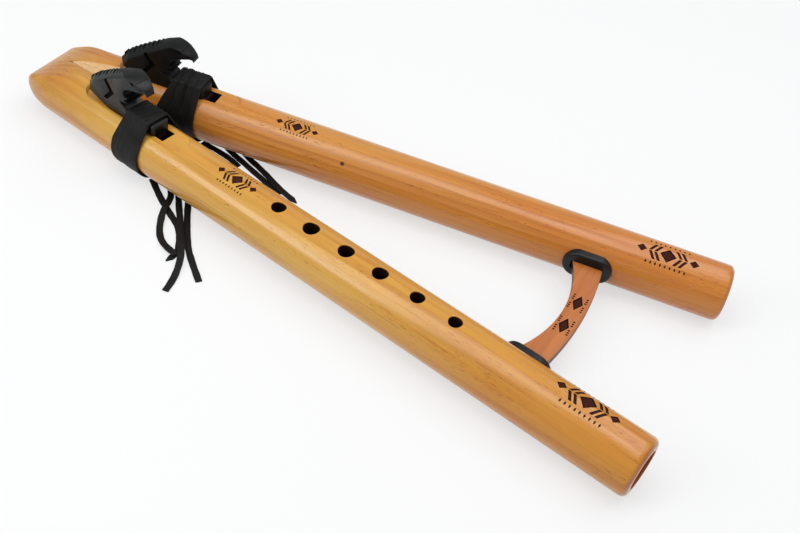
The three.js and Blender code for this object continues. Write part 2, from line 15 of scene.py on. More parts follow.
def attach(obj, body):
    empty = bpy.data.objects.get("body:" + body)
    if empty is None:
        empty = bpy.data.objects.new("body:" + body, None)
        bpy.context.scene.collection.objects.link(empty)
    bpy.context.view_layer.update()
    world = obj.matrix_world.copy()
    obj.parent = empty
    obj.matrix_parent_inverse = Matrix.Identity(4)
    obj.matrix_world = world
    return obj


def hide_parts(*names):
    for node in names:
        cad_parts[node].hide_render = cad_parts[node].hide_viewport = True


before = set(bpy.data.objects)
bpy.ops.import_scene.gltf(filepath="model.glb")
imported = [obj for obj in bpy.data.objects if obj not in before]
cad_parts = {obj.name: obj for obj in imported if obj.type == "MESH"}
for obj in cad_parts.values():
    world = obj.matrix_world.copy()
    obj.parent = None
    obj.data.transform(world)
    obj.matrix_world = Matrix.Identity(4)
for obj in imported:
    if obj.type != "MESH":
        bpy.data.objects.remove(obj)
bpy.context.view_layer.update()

# Camera
# It stands in front of the melody flute's foot and looks down at the pair, turned to the left. Its
# place and lens were worked out from the tubes' edges, the finger holes and the feet.

CAMERA_PLACE = (0.2155, -0.4246, 0.4440)
CAMERA_AZIMUTH = math.radians(21.78)
CAMERA_ELEVATION = math.radians(44.47)
CAMERA_ROLL = math.radians(10.49)
CAMERA_LENS = 46.97          # millimetres
SENSOR_WIDTH = 36

camera = bpy.data.objects.new("camera", bpy.data.cameras.new("camera"))
camera.data.lens = CAMERA_LENS
camera.data.sensor_width = SENSOR_WIDTH
camera.data.clip_start = 0.01
sight = Vector((
    -math.sin(CAMERA_AZIMUTH) * math.cos(CAMERA_ELEVATION),
    math.cos(CAMERA_AZIMUTH) * math.cos(CAMERA_ELEVATION),
    -math.sin(CAMERA_ELEVATION),
))
level_right = sight.cross(Vector((0, 0, 1))).normalized()
level_up = level_right.cross(sight)
right = math.cos(CAMERA_ROLL) * level_right + math.sin(CAMERA_ROLL) * level_up
up = right.cross(sight)
camera.matrix_world = Matrix.Translation(CAMERA_PLACE) @ Matrix((right, up, -sight)).transposed().to_4x4()
bpy.context.collection.objects.link(camera)
bpy.context.scene.camera = camera

# Laces
# Flat thongs cut from the same soft black leather as the straps, four from the melody flute's tie
# and three from the drone's. They come out from under the tubes and lie loose on the floor.

APEX_X = -0.2796977         # the tubes' axes would meet here, past the mouth
LACE_WIDTH = 0.0042
LACE_THICKNESS = 0.0012
LACE_TIP = 0.004            # length over which a pointed end narrows
# How the width swells along a lace: share of the half width, waves in radians a metre, and start
LACE_SWELL = [(0.03, 420, 0), (0.02, 910, 1)]
ROUTE_STEPS = 7             # steps of the smooth route between two points
# Routes in metres from the apex, and up from the floor, with the width left at the far end
LACES = {
    "melody_lace_1": (0.12, [
        (0.1619, -0.0319, 0.0007), (0.1661, -0.0350, 0.0007), (0.1703, -0.0381, 0.0007),
        (0.1746, -0.0411, 0.0007), (0.1790, -0.0440, 0.0007), (0.1834, -0.0467, 0.0007),
        (0.1880, -0.0493, 0.0007), (0.1925, -0.0519, 0.0007), (0.1970, -0.0544, 0.0007),
        (0.2015, -0.0573, 0.0007), (0.2052, -0.0610, 0.0007), (0.2085, -0.0651, 0.0007),
        (0.2115, -0.0694, 0.0007), (0.2139, -0.0740, 0.0007), (0.2143, -0.0790, 0.0007),
        (0.2134, -0.0842, 0.0007),
    ]),
    "melody_lace_2": (0.9, [
        (0.1664, -0.0156, 0.0007), (0.1683, -0.0209, 0.0007), (0.1711, -0.0257, 0.0007),
        (0.1745, -0.0301, 0.0007), (0.1783, -0.0343, 0.0007), (0.1816, -0.0388, 0.0013),
        (0.1839, -0.0437, 0.0023), (0.1856, -0.0489, 0.0026), (0.1875, -0.0541, 0.0022),
        (0.1900, -0.0590, 0.0015), (0.1929, -0.0638, 0.0009), (0.1964, -0.0682, 0.0007),
        (0.2005, -0.0719, 0.0010), (0.2052, -0.0747, 0.0016), (0.2104, -0.0767, 0.0023),
        (0.2158, -0.0780, 0.0023),
    ]),
    "melody_lace_3": (0.95, [
        (0.1735, -0.0168, 0.0007), (0.1757, -0.0225, 0.0007), (0.1791, -0.0276, 0.0007),
        (0.1828, -0.0324, 0.0007), (0.1866, -0.0373, 0.0007), (0.1904, -0.0420, 0.0012),
        (0.1944, -0.0467, 0.0019), (0.1984, -0.0513, 0.0023), (0.2022, -0.0561, 0.0023),
        (0.2060, -0.0609, 0.0024), (0.2100, -0.0656, 0.0028), (0.2138, -0.0702, 0.0037),
        (0.2176, -0.0751, 0.0040), (0.2208, -0.0802, 0.0034), (0.2233, -0.0857, 0.0021),
        (0.2253, -0.0914, 0.0010), (0.2268, -0.0973, 0.0007), (0.2280, -0.1033, 0.0007),
    ]),
    "melody_lace_4": (0.95, [
        (0.1774, -0.0125, 0.0007), (0.1812, -0.0171, 0.0007), (0.1846, -0.0222, 0.0007),
        (0.1877, -0.0274, 0.0007), (0.1908, -0.0326, 0.0007), (0.1941, -0.0377, 0.0007),
        (0.1975, -0.0427, 0.0007), (0.2010, -0.0476, 0.0007), (0.2046, -0.0525, 0.0007),
        (0.2083, -0.0572, 0.0007), (0.2121, -0.0620, 0.0007), (0.2160, -0.0666, 0.0007),
        (0.2202, -0.0709, 0.0007), (0.2248, -0.0749, 0.0007), (0.2294, -0.0788, 0.0007),
        (0.2341, -0.0826, 0.0007), (0.2388, -0.0864, 0.0007),
    ]),
    "drone_lace_1": (0.9, [
        (0.1644, 0.0169, 0.0007), (0.1666, 0.0168, 0.0007), (0.1688, 0.0167, 0.0007),
        (0.1710, 0.0165, 0.0007), (0.1732, 0.0164, 0.0007), (0.1754, 0.0162, 0.0007),
        (0.1776, 0.0160, 0.0007), (0.1798, 0.0157, 0.0007), (0.1820, 0.0154, 0.0007),
        (0.1842, 0.0151, 0.0007), (0.1864, 0.0147, 0.0007), (0.1886, 0.0142, 0.0007),
        (0.1907, 0.0136, 0.0007), (0.1928, 0.0129, 0.0007), (0.1949, 0.0122, 0.0007),
        (0.1970, 0.0115, 0.0007),
    ]),
    "drone_lace_2": (0.9, [
        (0.1644, 0.0330, 0.0007), (0.1684, 0.0300, 0.0007), (0.1726, 0.0272, 0.0007),
        (0.1768, 0.0246, 0.0007), (0.1812, 0.0222, 0.0007), (0.1858, 0.0202, 0.0007),
        (0.1905, 0.0186, 0.0007), (0.1953, 0.0172, 0.0007), (0.2000, 0.0157, 0.0007),
        (0.2048, 0.0141, 0.0007), (0.2095, 0.0126, 0.0007), (0.2143, 0.0111, 0.0007),
        (0.2190, 0.0095, 0.0007), (0.2238, 0.0079, 0.0007), (0.2285, 0.0062, 0.0007),
        (0.2332, 0.0046, 0.0007),
    ]),
    "drone_lace_3": (0.12, [
        (0.1720, 0.0341, 0.0007), (0.1769, 0.0320, 0.0007), (0.1819, 0.0297, 0.0007),
        (0.1867, 0.0275, 0.0007), (0.1916, 0.0252, 0.0007), (0.1965, 0.0229, 0.0007),
        (0.2015, 0.0209, 0.0008), (0.2066, 0.0190, 0.0011), (0.2115, 0.0169, 0.0014),
        (0.2164, 0.0146, 0.0019), (0.2212, 0.0123, 0.0022), (0.2262, 0.0101, 0.0023),
        (0.2312, 0.0081, 0.0022), (0.2363, 0.0065, 0.0021), (0.2415, 0.0053, 0.0017),
        (0.2468, 0.0041, 0.0014),
    ]),
}


def skin(name, rings, materials, loop=False):
    """A closed mesh through rings of points, an array (rings, points, 3). Each ring is joined to the
    next, and the last to the first where loop is true. Otherwise a fan to its mean closes each end.
    The faces are turned outwards, which they are when the volume under them is positive."""
    count, around = rings.shape[:2]
    near = np.arange(count * around).reshape(count, around)
    far = np.roll(near, -1, axis=0)
    quads = np.stack([near, np.roll(near, -1, axis=1), np.roll(far, -1, axis=1), far], axis=-1)
    points = rings.reshape(-1, 3)
    triangles = np.empty((0, 3), dtype=int)
    if not loop:
        quads = quads[:-1]
        first, last = len(points), len(points) + 1
        points = np.vstack([points, rings[0].mean(axis=0), rings[-1].mean(axis=0)])
        start, end = near[0], near[-1]
        triangles = np.vstack([
            np.stack([np.roll(start, -1), start, np.full(around, first)], axis=-1),
            np.stack([end, np.roll(end, -1), np.full(around, last)], axis=-1),
        ])
    quads = quads.reshape(-1, 4)
    halves = points[np.vstack([quads[:, [0, 1, 2]], quads[:, [0, 2, 3]], triangles])]
    if np.einsum("ij,ij->", halves[:, 0], np.cross(halves[:, 1], halves[:, 2])) < 0:
        quads, triangles = quads[:, ::-1], triangles[:, ::-1]
    mesh = bpy.data.meshes.new(name)
    mesh.from_pydata(points.tolist(), [], quads.tolist() + triangles.tolist())
    for material in materials:
        mesh.materials.append(material)
    mesh.shade_smooth()
    piece = bpy.data.objects.new(name, mesh)
    bpy.context.collection.objects.link(piece)
    return piece


def smooth_route(points, steps):
    """Points on one smooth curve through the given ones. Between two points it is the cubic whose
    slope at each end is half the step from the point before to the point after."""
    points = np.asarray(points, dtype=float)
    padded = np.vstack([2 * points[0] - points[1], points, 2 * points[-1] - points[-2]])
    t = np.linspace(0, 1, steps, endpoint=False)[:, None, None]
    a, b, c, d = padded[:-3], padded[1:-2], padded[2:-1], padded[3:]
    square, cube = a - 2.5 * b + 2 * c - d / 2, 1.5 * (b - c) + (d - a) / 2
    curve = b + (c - a) / 2 * t + square * t**2 + cube * t**3
    return np.vstack([curve.transpose(1, 0, 2).reshape(-1, 3), points[-1]])


def thong(route, width, thickness, end_share):
    """Rings of a flat thong along a route. Each ring is a rounded oblong, the fourth-power oval, laid
    square to the route with its width level. The width swells and shrinks by a few hundredths, as
    a hand-cut thong's does, and over the tip it narrows to its share at the end."""
    step = np.linalg.norm(np.diff(route, axis=0), axis=1)
    along = np.concatenate([[0], np.cumsum(step)])
    ahead = np.gradient(route, axis=0)
    ahead /= np.linalg.norm(ahead, axis=1, keepdims=True)
    across = np.cross([0, 0, 1], ahead)
    across /= np.linalg.norm(across, axis=1, keepdims=True)
    above = np.cross(ahead, across)
    turn = np.linspace(0, 2 * np.pi, 20, endpoint=False)
    oval_x = np.sign(np.cos(turn)) * np.sqrt(np.abs(np.cos(turn)))
    oval_z = np.sign(np.sin(turn)) * np.sqrt(np.abs(np.sin(turn)))
    to_tip = np.clip((along[-1] - along) / LACE_TIP, 0, 1)
    half = width / 2 * (1 + sum(share * np.sin(along * rate + start) for share, rate, start in LACE_SWELL))
    half *= end_share + (1 - end_share) * to_tip
    return (
        route[:, None]
        + across[:, None] * (half[:, None] * oval_x)[..., None]
        + above[:, None] * (thickness / 2 * oval_z)[None, :, None]
    )


def new_material(name):
    """A node material, its node tree and its Principled shader."""
    material = bpy.data.materials.new(name)
    material.use_nodes = True
    return material, material.node_tree, material.node_tree.nodes["Principled BSDF"]


def feed(tree, node, inputs):
    """Gives each named input of a node its value, or a link from a socket."""
    for key, value in inputs.items():
        if isinstance(value, bpy.types.NodeSocket):
            tree.links.new(value, node.inputs[key])
        else:
            node.inputs[key].default_value = value


def add(tree, kind, inputs, **settings):
    """A shader node of a kind, with its settings and its inputs."""
    node = tree.nodes.new("ShaderNode" + kind)
    for name, value in settings.items():
        setattr(node, name, value)
    feed(tree, node, inputs)
    return node


def ramp(tree, factor, *stops):
    """A colour ramp's colour. Each stop is a place and a colour, or a place and a grey value."""
    node = add(tree, "ValToRGB", {"Fac": factor})
    while len(node.color_ramp.elements) < len(stops):
        node.color_ramp.elements.new(1)
    for element, (place, colour) in zip(node.color_ramp.elements, stops):
        element.position = place
        element.color = (colour, colour, colour, 1) if np.isscalar(colour) else (*colour, 1)
    return node.outputs["Color"]


def bumped(tree, height, strength, distance, under=None, **settings):
    """The normal of a surface with a height on it, or of another bump's normal with it on top."""
    inputs = {"Height": height, "Strength": strength, "Distance": distance}
    if under is not None:
        inputs["Normal"] = under
    return add(tree, "Bump", inputs, **settings).outputs["Normal"]


def leather(name, colour, worn, gloss):
    """Soft black leather: fine pebbled grain, a little paler and smoother where it is rubbed."""
    material, tree, shader = new_material(name)
    place = add(tree, "TexCoord", {}).outputs["Object"]
    pebble = add(tree, "TexVoronoi", {"Vector": place, "Scale": 2300.0}, feature="SMOOTH_F1")
    crease = add(tree, "TexNoise", {"Vector": place, "Scale": 420.0, "Detail": 5.0, "Roughness": 0.65})
    rub = add(tree, "TexNoise", {"Vector": place, "Scale": 95.0, "Detail": 3.0}).outputs["Fac"]
    fine = bumped(tree, pebble.outputs["Distance"], 0.35, 0.0001)
    feed(tree, shader, {
        "Base Color": ramp(tree, rub, (0.35, colour), (0.75, worn)),
        "Roughness": ramp(tree, rub, (0.3, 0.68), (0.8, 0.52)),
        "Specular IOR Level": gloss,
        "Normal": bumped(tree, crease.outputs["Fac"], 0.5, 0.0002, fine),
    })
    return material


lace_leather = leather(
    "lace_leather", colour=(0.003, 0.003, 0.0035), worn=(0.007, 0.007, 0.0075), gloss=0.24)
for name, (end_share, points) in LACES.items():
    route = smooth_route(np.array(points) + (APEX_X, 0, 0), ROUTE_STEPS)
    lace = skin(f"{name}_thong", thong(route, LACE_WIDTH, LACE_THICKNESS, end_share), [lace_leather])
    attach(lace, "flutes")
    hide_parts(name)

# Wood of the flutes
# Each flute is a round stick of clear softwood, split, hollowed and glued up again as an upper and a
# lower half, then turned, shaped at the mouth and varnished. The melody flute is honey coloured.

TUBE_RADIUS = 0.0175
BORE_RADIUS = 0.0111
FOOT_REACH = 0.5111          # a reach is a distance along a tube's axis from the apex
FOOT_SPACING = 0.1505
FOOT_EDGE = 0.00375
AXIS_HEIGHT = 0.0191
SPLAY = math.asin(FOOT_SPACING / 2 / FOOT_REACH)
MOUTH_REACH = 0.0518
MOUTH_CORNER_LENGTH = 0.0285
MOUTH_CORNER_WIDTH = 0.007
LIP_HEIGHT = 0.010
NOSE_LENGTH = 0.0463
CARVED_BLEND = 0.005         # how softly the mouth's carved faces run into each other
FAN_START, FAN_CROWDING = 0.004, 1.6     # the fan's first angle, and how much closer its rays are there
RAY_LIMIT = 0.06             # longer than any ray from the axis to the outside
SLOW_START, SLOW_END, SLOW_CORNER = 0.088, 0.152, 0.004
CHAMBER_START = 0.165
BREATH_RADIUS = 0.0035
WINDWAY_WIDTH = 0.0104
SOUND_HOLE = (0.1661, 0.1726)
NEST_HEIGHT = 0.0152
NEST_SPAN = (0.103, 0.1875)
NEST_CUTTER = 0.0095
# Finger holes of the melody flute: place from the sound chamber's start, and radius
FINGER_HOLES = [
    (0.09795, 0.00445), (0.12287, 0.0050), (0.14882, 0.00485),
    (0.17340, 0.00475), (0.19935, 0.0043), (0.22497, 0.00405),
]
HOLE_EDGE = 0.0006
HOLE_EASE = math.radians(75)     # how much of a quarter circle the eased lip is
HOLE_FLOOR = 0.003               # height over the axis where the cutter stops, inside the bore
OVERRUN = 0.006
FLUTES = {"melody": -1, "drone": 1}


def laid(points, side):
    """Points of a flute's own frame, along its axis from the apex, outwards and up from the axis, moved
    to the model's frame: turned by the splay, mirrored for the melody flute, and raised."""
    s, o, z = np.moveaxis(np.asarray(points, dtype=float), -1, 0)
    return np.stack([
        APEX_X + s * math.cos(SPLAY) - o * math.sin(SPLAY),
        side * (s * math.sin(SPLAY) + o * math.cos(SPLAY)),
        AXIS_HEIGHT + z,
    ], axis=-1)


def soft_least(a, b, blend):
    """The lesser of two depths, rounded off by a quarter of the blend where they are equal."""
    near = np.clip(1 - np.abs(a - b) / np.maximum(blend, 1e-9), 0, 1)
    return np.minimum(a, b) - near**2 * blend / 4


def wood_depth(s, o, z):
    """Depth of a point in a flute's wood, negative outside it. It is the softened least of the depth
    under the round tube, behind the mouth's front and under the nose's slope. The front bends back to
    the side as a quarter oval, and the slope rises from the lip to the tube by a square law."""
    tube = TUBE_RADIUS - np.hypot(o, z)
    ahead = s * math.cos(SPLAY) - o * math.sin(SPLAY)
    aside = s * math.sin(SPLAY) + o * math.cos(SPLAY)
    side_line = TUBE_RADIUS / math.cos(SPLAY) + ahead * math.tan(SPLAY)
    bend = np.clip(1 + (aside - side_line) / MOUTH_CORNER_WIDTH, 0, 0.999)
    front = ahead - MOUTH_REACH - MOUTH_CORNER_LENGTH * (1 - np.sqrt(1 - bend**2))
    back = np.clip(1 - front / NOSE_LENGTH, 0, None)
    nose = TUBE_RADIUS - (TUBE_RADIUS - LIP_HEIGHT / 2) * back**2 - np.abs(z)
    blend = CARVED_BLEND * np.clip(back, 0, 1)
    return soft_least(tube, soft_least(nose, front, blend), blend / 2)


def flute_blank(name, side, materials, around=192, step=0.0024, fan_steps=90, edge_steps=8):
    """The solid outside of a flute. Each point is where a ray from the axis leaves the wood, found by
    halving. Along the tube the rays stand square to the axis, and at the mouth they fan forwards from
    one place on it, closest together at the lip. The foot's edge is a quarter circle."""
    turn = (np.arange(around) + 0.5) * 2 * np.pi / around
    base = MOUTH_REACH + NOSE_LENGTH
    share = np.linspace(0, 1, fan_steps, endpoint=False) ** FAN_CROWDING
    fan = FAN_START + (np.pi / 2 - FAN_START) * share
    straight = np.linspace(base, FOOT_REACH - FOOT_EDGE, int((FOOT_REACH - base) / step))
    starts = np.concatenate([np.full(fan_steps, base), straight])[:, None]
    lean = np.concatenate([fan, np.full(len(straight), np.pi / 2)])[:, None]
    ray = np.stack(np.broadcast_arrays(
        -np.cos(lean), np.sin(lean) * np.cos(turn), np.sin(lean) * np.sin(turn),
    ), axis=-1)
    low, high = np.zeros(ray.shape[:2]), np.full(ray.shape[:2], RAY_LIMIT)
    for _ in range(32):
        middle = (low + high) / 2
        s, o, z = starts + ray[..., 0] * middle, ray[..., 1] * middle, ray[..., 2] * middle
        inside = wood_depth(s, o, z) > 0
        low, high = np.where(inside, middle, low), np.where(inside, high, middle)
    skin_points = ray * low[..., None]
    skin_points[..., 0] += starts
    bend = np.linspace(0, np.pi / 2, edge_steps + 1)[1:, None]
    radius = TUBE_RADIUS - FOOT_EDGE + FOOT_EDGE * np.cos(bend)
    foot = np.stack(np.broadcast_arrays(
        FOOT_REACH - FOOT_EDGE + FOOT_EDGE * np.sin(bend), radius * np.cos(turn), radius * np.sin(turn),
    ), axis=-1)
    return skin(name, laid(np.concatenate([skin_points, foot]), side), materials)


def turned_cutter(profile, side, material, around=96):
    """A solid turned about the flute's axis from a profile of places along it and radii."""
    turn = np.arange(around) * 2 * np.pi / around
    s, r = np.array(profile, dtype=float).T[..., None]
    rings = np.stack(np.broadcast_arrays(s, r * np.cos(turn), r * np.sin(turn)), axis=-1)
    return skin("cutter", laid(rings, side), [material])


def upright_cutter(plan, bottom, top, side, material, upper_plan=None):
    """A prism that stands on a plan, given as places along and outwards, between two heights. With an
    upper plan its walls lean from the one to the other."""
    upper_plan = plan if upper_plan is None else upper_plan
    rings = np.stack([
        np.column_stack([np.array(flat, dtype=float), np.full(len(flat), z)])
        for flat, z in ((plan, bottom), (upper_plan, top))
    ])
    return skin("cutter", laid(rings, side), [material])


def oblong(start, end, half_width):
    """Corners of an oblong plan."""
    return [(start, -half_width), (end, -half_width), (end, half_width), (start, half_width)]


def finger_hole_cutter(reach, radius, side, inside, lip, around=72):
    """A round hole whose lip is eased and varnished. Each ring follows the tube's surface at its own
    distance out, so the eased lip is as wide at the hole's sides as at its ends."""
    turn = np.arange(around) * 2 * np.pi / around
    ease = np.linspace(0, HOLE_EASE, 6)
    wider = np.concatenate([[0], HOLE_EDGE * (1 - np.cos(ease)), [1.1 * HOLE_EDGE, 1.1 * HOLE_EDGE]])
    lift = np.concatenate([[-TUBE_RADIUS], HOLE_EDGE * (np.sin(ease) - 1), [0.07 * HOLE_EDGE, OVERRUN]])
    ring = (radius + wider)[:, None]
    s, o = reach + ring * np.cos(turn), ring * np.sin(turn)
    z = np.maximum(np.sqrt(TUBE_RADIUS**2 - o**2) + lift[:, None], HOLE_FLOOR)
    piece = skin("cutter", laid(np.stack([s, o, z], axis=-1), side), [inside, lip])
    finish = np.zeros(len(piece.data.polygons), dtype=int)
    finish[around:-2 * around] = 1
    piece.data.polygons.foreach_set("material_index", finish)
    return piece


def cut(piece, cutters):
    """Takes each cutter out of the piece in turn and removes it. The cut faces keep the cutter's finish."""
    for cutter in cutters:
        step = piece.modifiers.new("cut", "BOOLEAN")
        step.operation = "DIFFERENCE"
        step.solver = "MANIFOLD"
        step.material_mode = "TRANSFER"
        step.object = cutter
    rough = piece.data
    piece.data = bpy.data.meshes.new_from_object(piece.evaluated_get(bpy.context.evaluated_depsgraph_get()))
    piece.modifiers.clear()
    bpy.data.meshes.remove(rough)
    for cutter in cutters:
        bpy.data.meshes.remove(cutter.data)


def joined(pieces):
    """One mesh object of several that don't touch each other and share their materials."""
    form = bmesh.new()
    for piece in pieces:
        form.from_mesh(piece.data)
    first, rest = pieces[0], pieces[1:]
    form.to_mesh(first.data)
    form.free()
    for piece in rest:
        bpy.data.meshes.remove(piece.data)
    return first


def mixed(tree, factor, one, other, mode="MIX"):
    """A mix of two colours by a factor. Each of the three is a value or a socket."""
    node = add(tree, "Mix", {}, data_type="RGBA", blend_type=mode)
    for socket, value in (("Factor_Float", factor), ("A_Color", one), ("B_Color", other)):
        target = next(i for i in node.inputs if i.identifier == socket)
        if isinstance(value, bpy.types.NodeSocket):
            tree.links.new(value, target)
        else:
            target.default_value = value if np.isscalar(value) else (*value, 1)
    return next(o for o in node.outputs if o.identifier == "Result_Color")


def worked(tree, operation, *values):
    """What a Math node makes of its values or sockets."""
    return add(tree, "Math", dict(enumerate(values)), operation=operation).outputs[0]


def eased(tree, value, start, end, falling=False):
    """A share that goes smoothly from 0 to 1, or from 1 to 0, as a value goes from start to end."""
    return add(tree, "MapRange", {
        "Value": value, "From Min": start, "From Max": end,
        "To Min": float(falling), "To Max": 1.0 - falling,
    }, interpolation_type="SMOOTHSTEP").outputs[0]


def tinted(tree, body, share, tint):
    """A colour that is multiplied by a tint, as far as a share goes."""
    return mixed(tree, share, body, mixed(tree, 1.0, body, tint, "MULTIPLY"))


def drawn_noise(tree, place, scale, detail, **inputs):
    """Noise that is drawn out along the axes on which its scale is small."""
    drawn = add(tree, "Mapping", {"Vector": place, "Scale": scale}).outputs["Vector"]
    return add(tree, "TexNoise", {"Vector": drawn, "Scale": 1.0, "Detail": detail, **inputs}).outputs["Fac"]


def varnished_wood(name, side, early, late, mouth, foot, pith, knots=()):
    """Satin varnished softwood. Its growth rings are cylinders about a pith beside the tube, which meet
    its surface as long lines: pale early wood darkens into late wood and ends sharply. Farthest from
    the pith is yellow sapwood, which tapers off both ways; it lies along the strip of light, and its
    pale tint is partly a painted highlight. Noise drawn out along the tube bends and tints all this,
    pores are short dark dashes and a pin knot is a dark dot. The colour turns to the mouth's near the
    mouth, and towards the foot to a darker, more orange colour that is partly the wood's own and partly
    painted shade. A thin clear coat lies over it."""
    material, tree, shader = new_material(name)
    place = add(tree, "TexCoord", {}).outputs["Object"]
    grain = add(tree, "Mapping", {
        "Vector": place, "Rotation": (0, 0, -side * SPLAY),
        "Location": (0, side * (pith[0] + APEX_X * math.sin(SPLAY)), pith[1] - AXIS_HEIGHT),
    }).outputs["Vector"]

    def streaks(along, across, detail, twist=0.0):
        return drawn_noise(tree, grain, (along, across, across), detail, Roughness=0.55, Distortion=twist)

    slow = add(tree, "Mapping", {"Vector": grain, "Scale": (0.12, 1, 1)}).outputs["Vector"]
    rings = add(tree, "TexWave", {
        "Vector": slow, "Scale": 0.314 / GROWTH_RING, "Distortion": 4.4, "Detail": 2.0, "Detail Scale": 0.7,
    }, wave_type="RINGS", rings_direction="X", wave_profile="SAW").outputs["Fac"]
    lateness = ramp(tree, rings, (0.25, 0.0), (0.88, 1.0), (1.0, 0.15))
    strength = ramp(tree, streaks(7.0, 75.0, 2.0), (0.42, 0.25), (0.66, 1.0))
    body = mixed(tree, worked(tree, "MULTIPLY", lateness, strength), early, late)

    section = add(tree, "VectorMath", {0: grain, 1: (0, 1, 1)}, operation="MULTIPLY").outputs["Vector"]
    from_pith = add(tree, "VectorMath", {0: section}, operation="LENGTH").outputs["Value"]
    along = add(tree, "SeparateXYZ", {"Vector": place}).outputs["X"]
    wavy = worked(tree, "MULTIPLY_ADD", streaks(8.0, 90.0, 3.0), SAP_AND_HIGHLIGHT_WAVES, from_pith)
    from_thickest = worked(tree, "ABSOLUTE", worked(tree, "SUBTRACT", along, SAP_AND_HIGHLIGHT_PLACE))
    tapered = worked(tree, "MULTIPLY_ADD", from_thickest, -SAP_AND_HIGHLIGHT_TAPER, wavy)
    # Paler, yellower band farthest from the pith: sapwood, and partly a painted highlight along the strip of
    # light.
    body = tinted(tree, body, eased(tree, tapered, *SAP_AND_HIGHLIGHT_EDGE), SAP_AND_HIGHLIGHT_TINT)

    reach = add(tree, "SeparateXYZ", {"Vector": grain}).outputs["X"]
    end = FOOT_REACH + APEX_X * math.cos(SPLAY)
    body = tinted(tree, body, eased(tree, reach, end - END_GRAIN[0], end - END_GRAIN[1]), END_GRAIN_TINT)
    body = tinted(tree, body, eased(tree, along, *MOUTH_TINT, falling=True), mouth)
    # Towards the foot the wood turns darker and more orange: partly its own tone, partly painted shade.
    body = tinted(tree, body, eased(tree, along, *FOOT_TONE_AND_SHADE), foot)

    broad = ramp(tree, streaks(9.0, 60.0, 3.0, 0.4), (0.32, AMBER_TINT), (0.58, 1.0))
    body = mixed(tree, 1.0, body, broad, "MULTIPLY")
    fine = streaks(24.0, 1100.0, 3.0)
    body = mixed(tree, 1.0, body, ramp(tree, fine, (0.3, 0.88), (0.65, 1.0)), "MULTIPLY")
    body = tinted(tree, body, ramp(tree, streaks(11.0, 620.0, 2.0), (0.63, 0.0), (0.72, 1.0)), VEIN_TINT)
    pores = ramp(tree, streaks(210.0, 2600.0, 1.0), (0.64, 0.0), (0.71, 1.0))
    patches = ramp(tree, streaks(20.0, 170.0, 2.0), (0.46, 0.0), (0.60, 1.0))
    dashes = worked(tree, "MULTIPLY", pores, patches)
    body = tinted(tree, body, dashes, PORE_TINT)
    for knot in knots:
        away = add(tree, "VectorMath", {0: place, 1: knot}, operation="DISTANCE").outputs["Value"]
        body = mixed(tree, eased(tree, away, *KNOT_EDGE, falling=True), body, KNOT_BROWN)
    feed(tree, shader, {
        "Base Color": body, "Roughness": 0.5, "Specular IOR Level": 0.12,
        "Coat Weight": 0.85, "Coat Roughness": 0.17,
        "Normal": bumped(tree, dashes, 0.25, 0.0001, bumped(tree, fine, 0.10, 0.0001), invert=True),
    })
    return material


def shaded_bare_wood(name, colour, dark):
    """Wood inside the chambers and holes, nearly black and dull: painted shade, which lifts to red brown
    near the open foot where the bore is lit."""
    material, tree, shader = new_material(name)
    place = add(tree, "TexCoord", {}).outputs["Object"]
    fibre = drawn_noise(tree, place, (12.0, 420.0, 420.0), 4.0)
    along = add(tree, "SeparateXYZ", {"Vector": place}).outputs["X"]
    body = ramp(tree, fibre, (0.3, dark), (0.7, colour))
    feed(tree, shader, {
        "Base Color": mixed(tree, eased(tree, along, *BORE_SHADE_LIFT), body, OPEN_BORE_BROWN),
        "Roughness": 0.8, "Specular IOR Level": 0.1, "Normal": bumped(tree, fibre, 0.4, 0.0003),
    })
    return material


def burned(name, colour, dark):
    """Wood charred by a hot tool: dull, uneven dark brown."""
    material, tree, shader = new_material(name)
    place = add(tree, "TexCoord", {}).outputs["Object"]
    char = add(tree, "TexNoise", {"Vector": place, "Scale": 1300.0, "Detail": 4.0}).outputs["Fac"]
    feed(tree, shader, {
        "Base Color": ramp(tree, char, (0.3, dark), (0.7, colour)),
        "Roughness": 0.75, "Specular IOR Level": 0.05, "Normal": bumped(tree, char, 0.5, 0.0002),
    })
    return material


GROWTH_RING = 0.0040
# Places along the model between which the colour turns, and near the foot the painted shade inside the bore
# lifts
MOUTH_TINT = (-0.2279, -0.150)
# From mid tube to the foot the colour darkens: partly the wood's own tone, partly painted shade.
FOOT_TONE_AND_SHADE = (0.0, 0.2279)
BORE_SHADE_LIFT = (0.17, 0.225)
# The sapwood starts between two distances from the pith, which noise bends. It is thickest at a
# place along the model and tapers off from there. It lies along the strip of light, and its paler
# tint is partly a painted highlight.
SAP_AND_HIGHLIGHT_EDGE = (0.0605, 0.0665)
SAP_AND_HIGHLIGHT_WAVES = 0.009
SAP_AND_HIGHLIGHT_PLACE = -0.05
SAP_AND_HIGHLIGHT_TAPER = 0.03
END_GRAIN = (0.0026, 0.0002)    # distances from the foot's end between which the end grain starts
KNOT_EDGE = (0.0009, 0.0017)    # radii between which a pin knot fades
PIN_KNOT = (-0.01482, 0.02497, 0.02919)
KNOT_BROWN = (0.075, 0.012, 0.008)
OPEN_BORE_BROWN = (0.34, 0.085, 0.030)
AMBER_TINT = (0.93, 0.80, 0.68)
SAP_AND_HIGHLIGHT_TINT = (1.01, 1.15, 1.40)
END_GRAIN_TINT = (0.80, 0.60, 0.50)
PORE_TINT = (0.42, 0.26, 0.17)
VEIN_TINT = (0.80, 0.66, 0.48)
# How far the pith of each stick lies from its axis towards the middle line, and below it
MELODY_PITH = (0.036, 0.026)
DRONE_PITH = (0.030, 0.034)

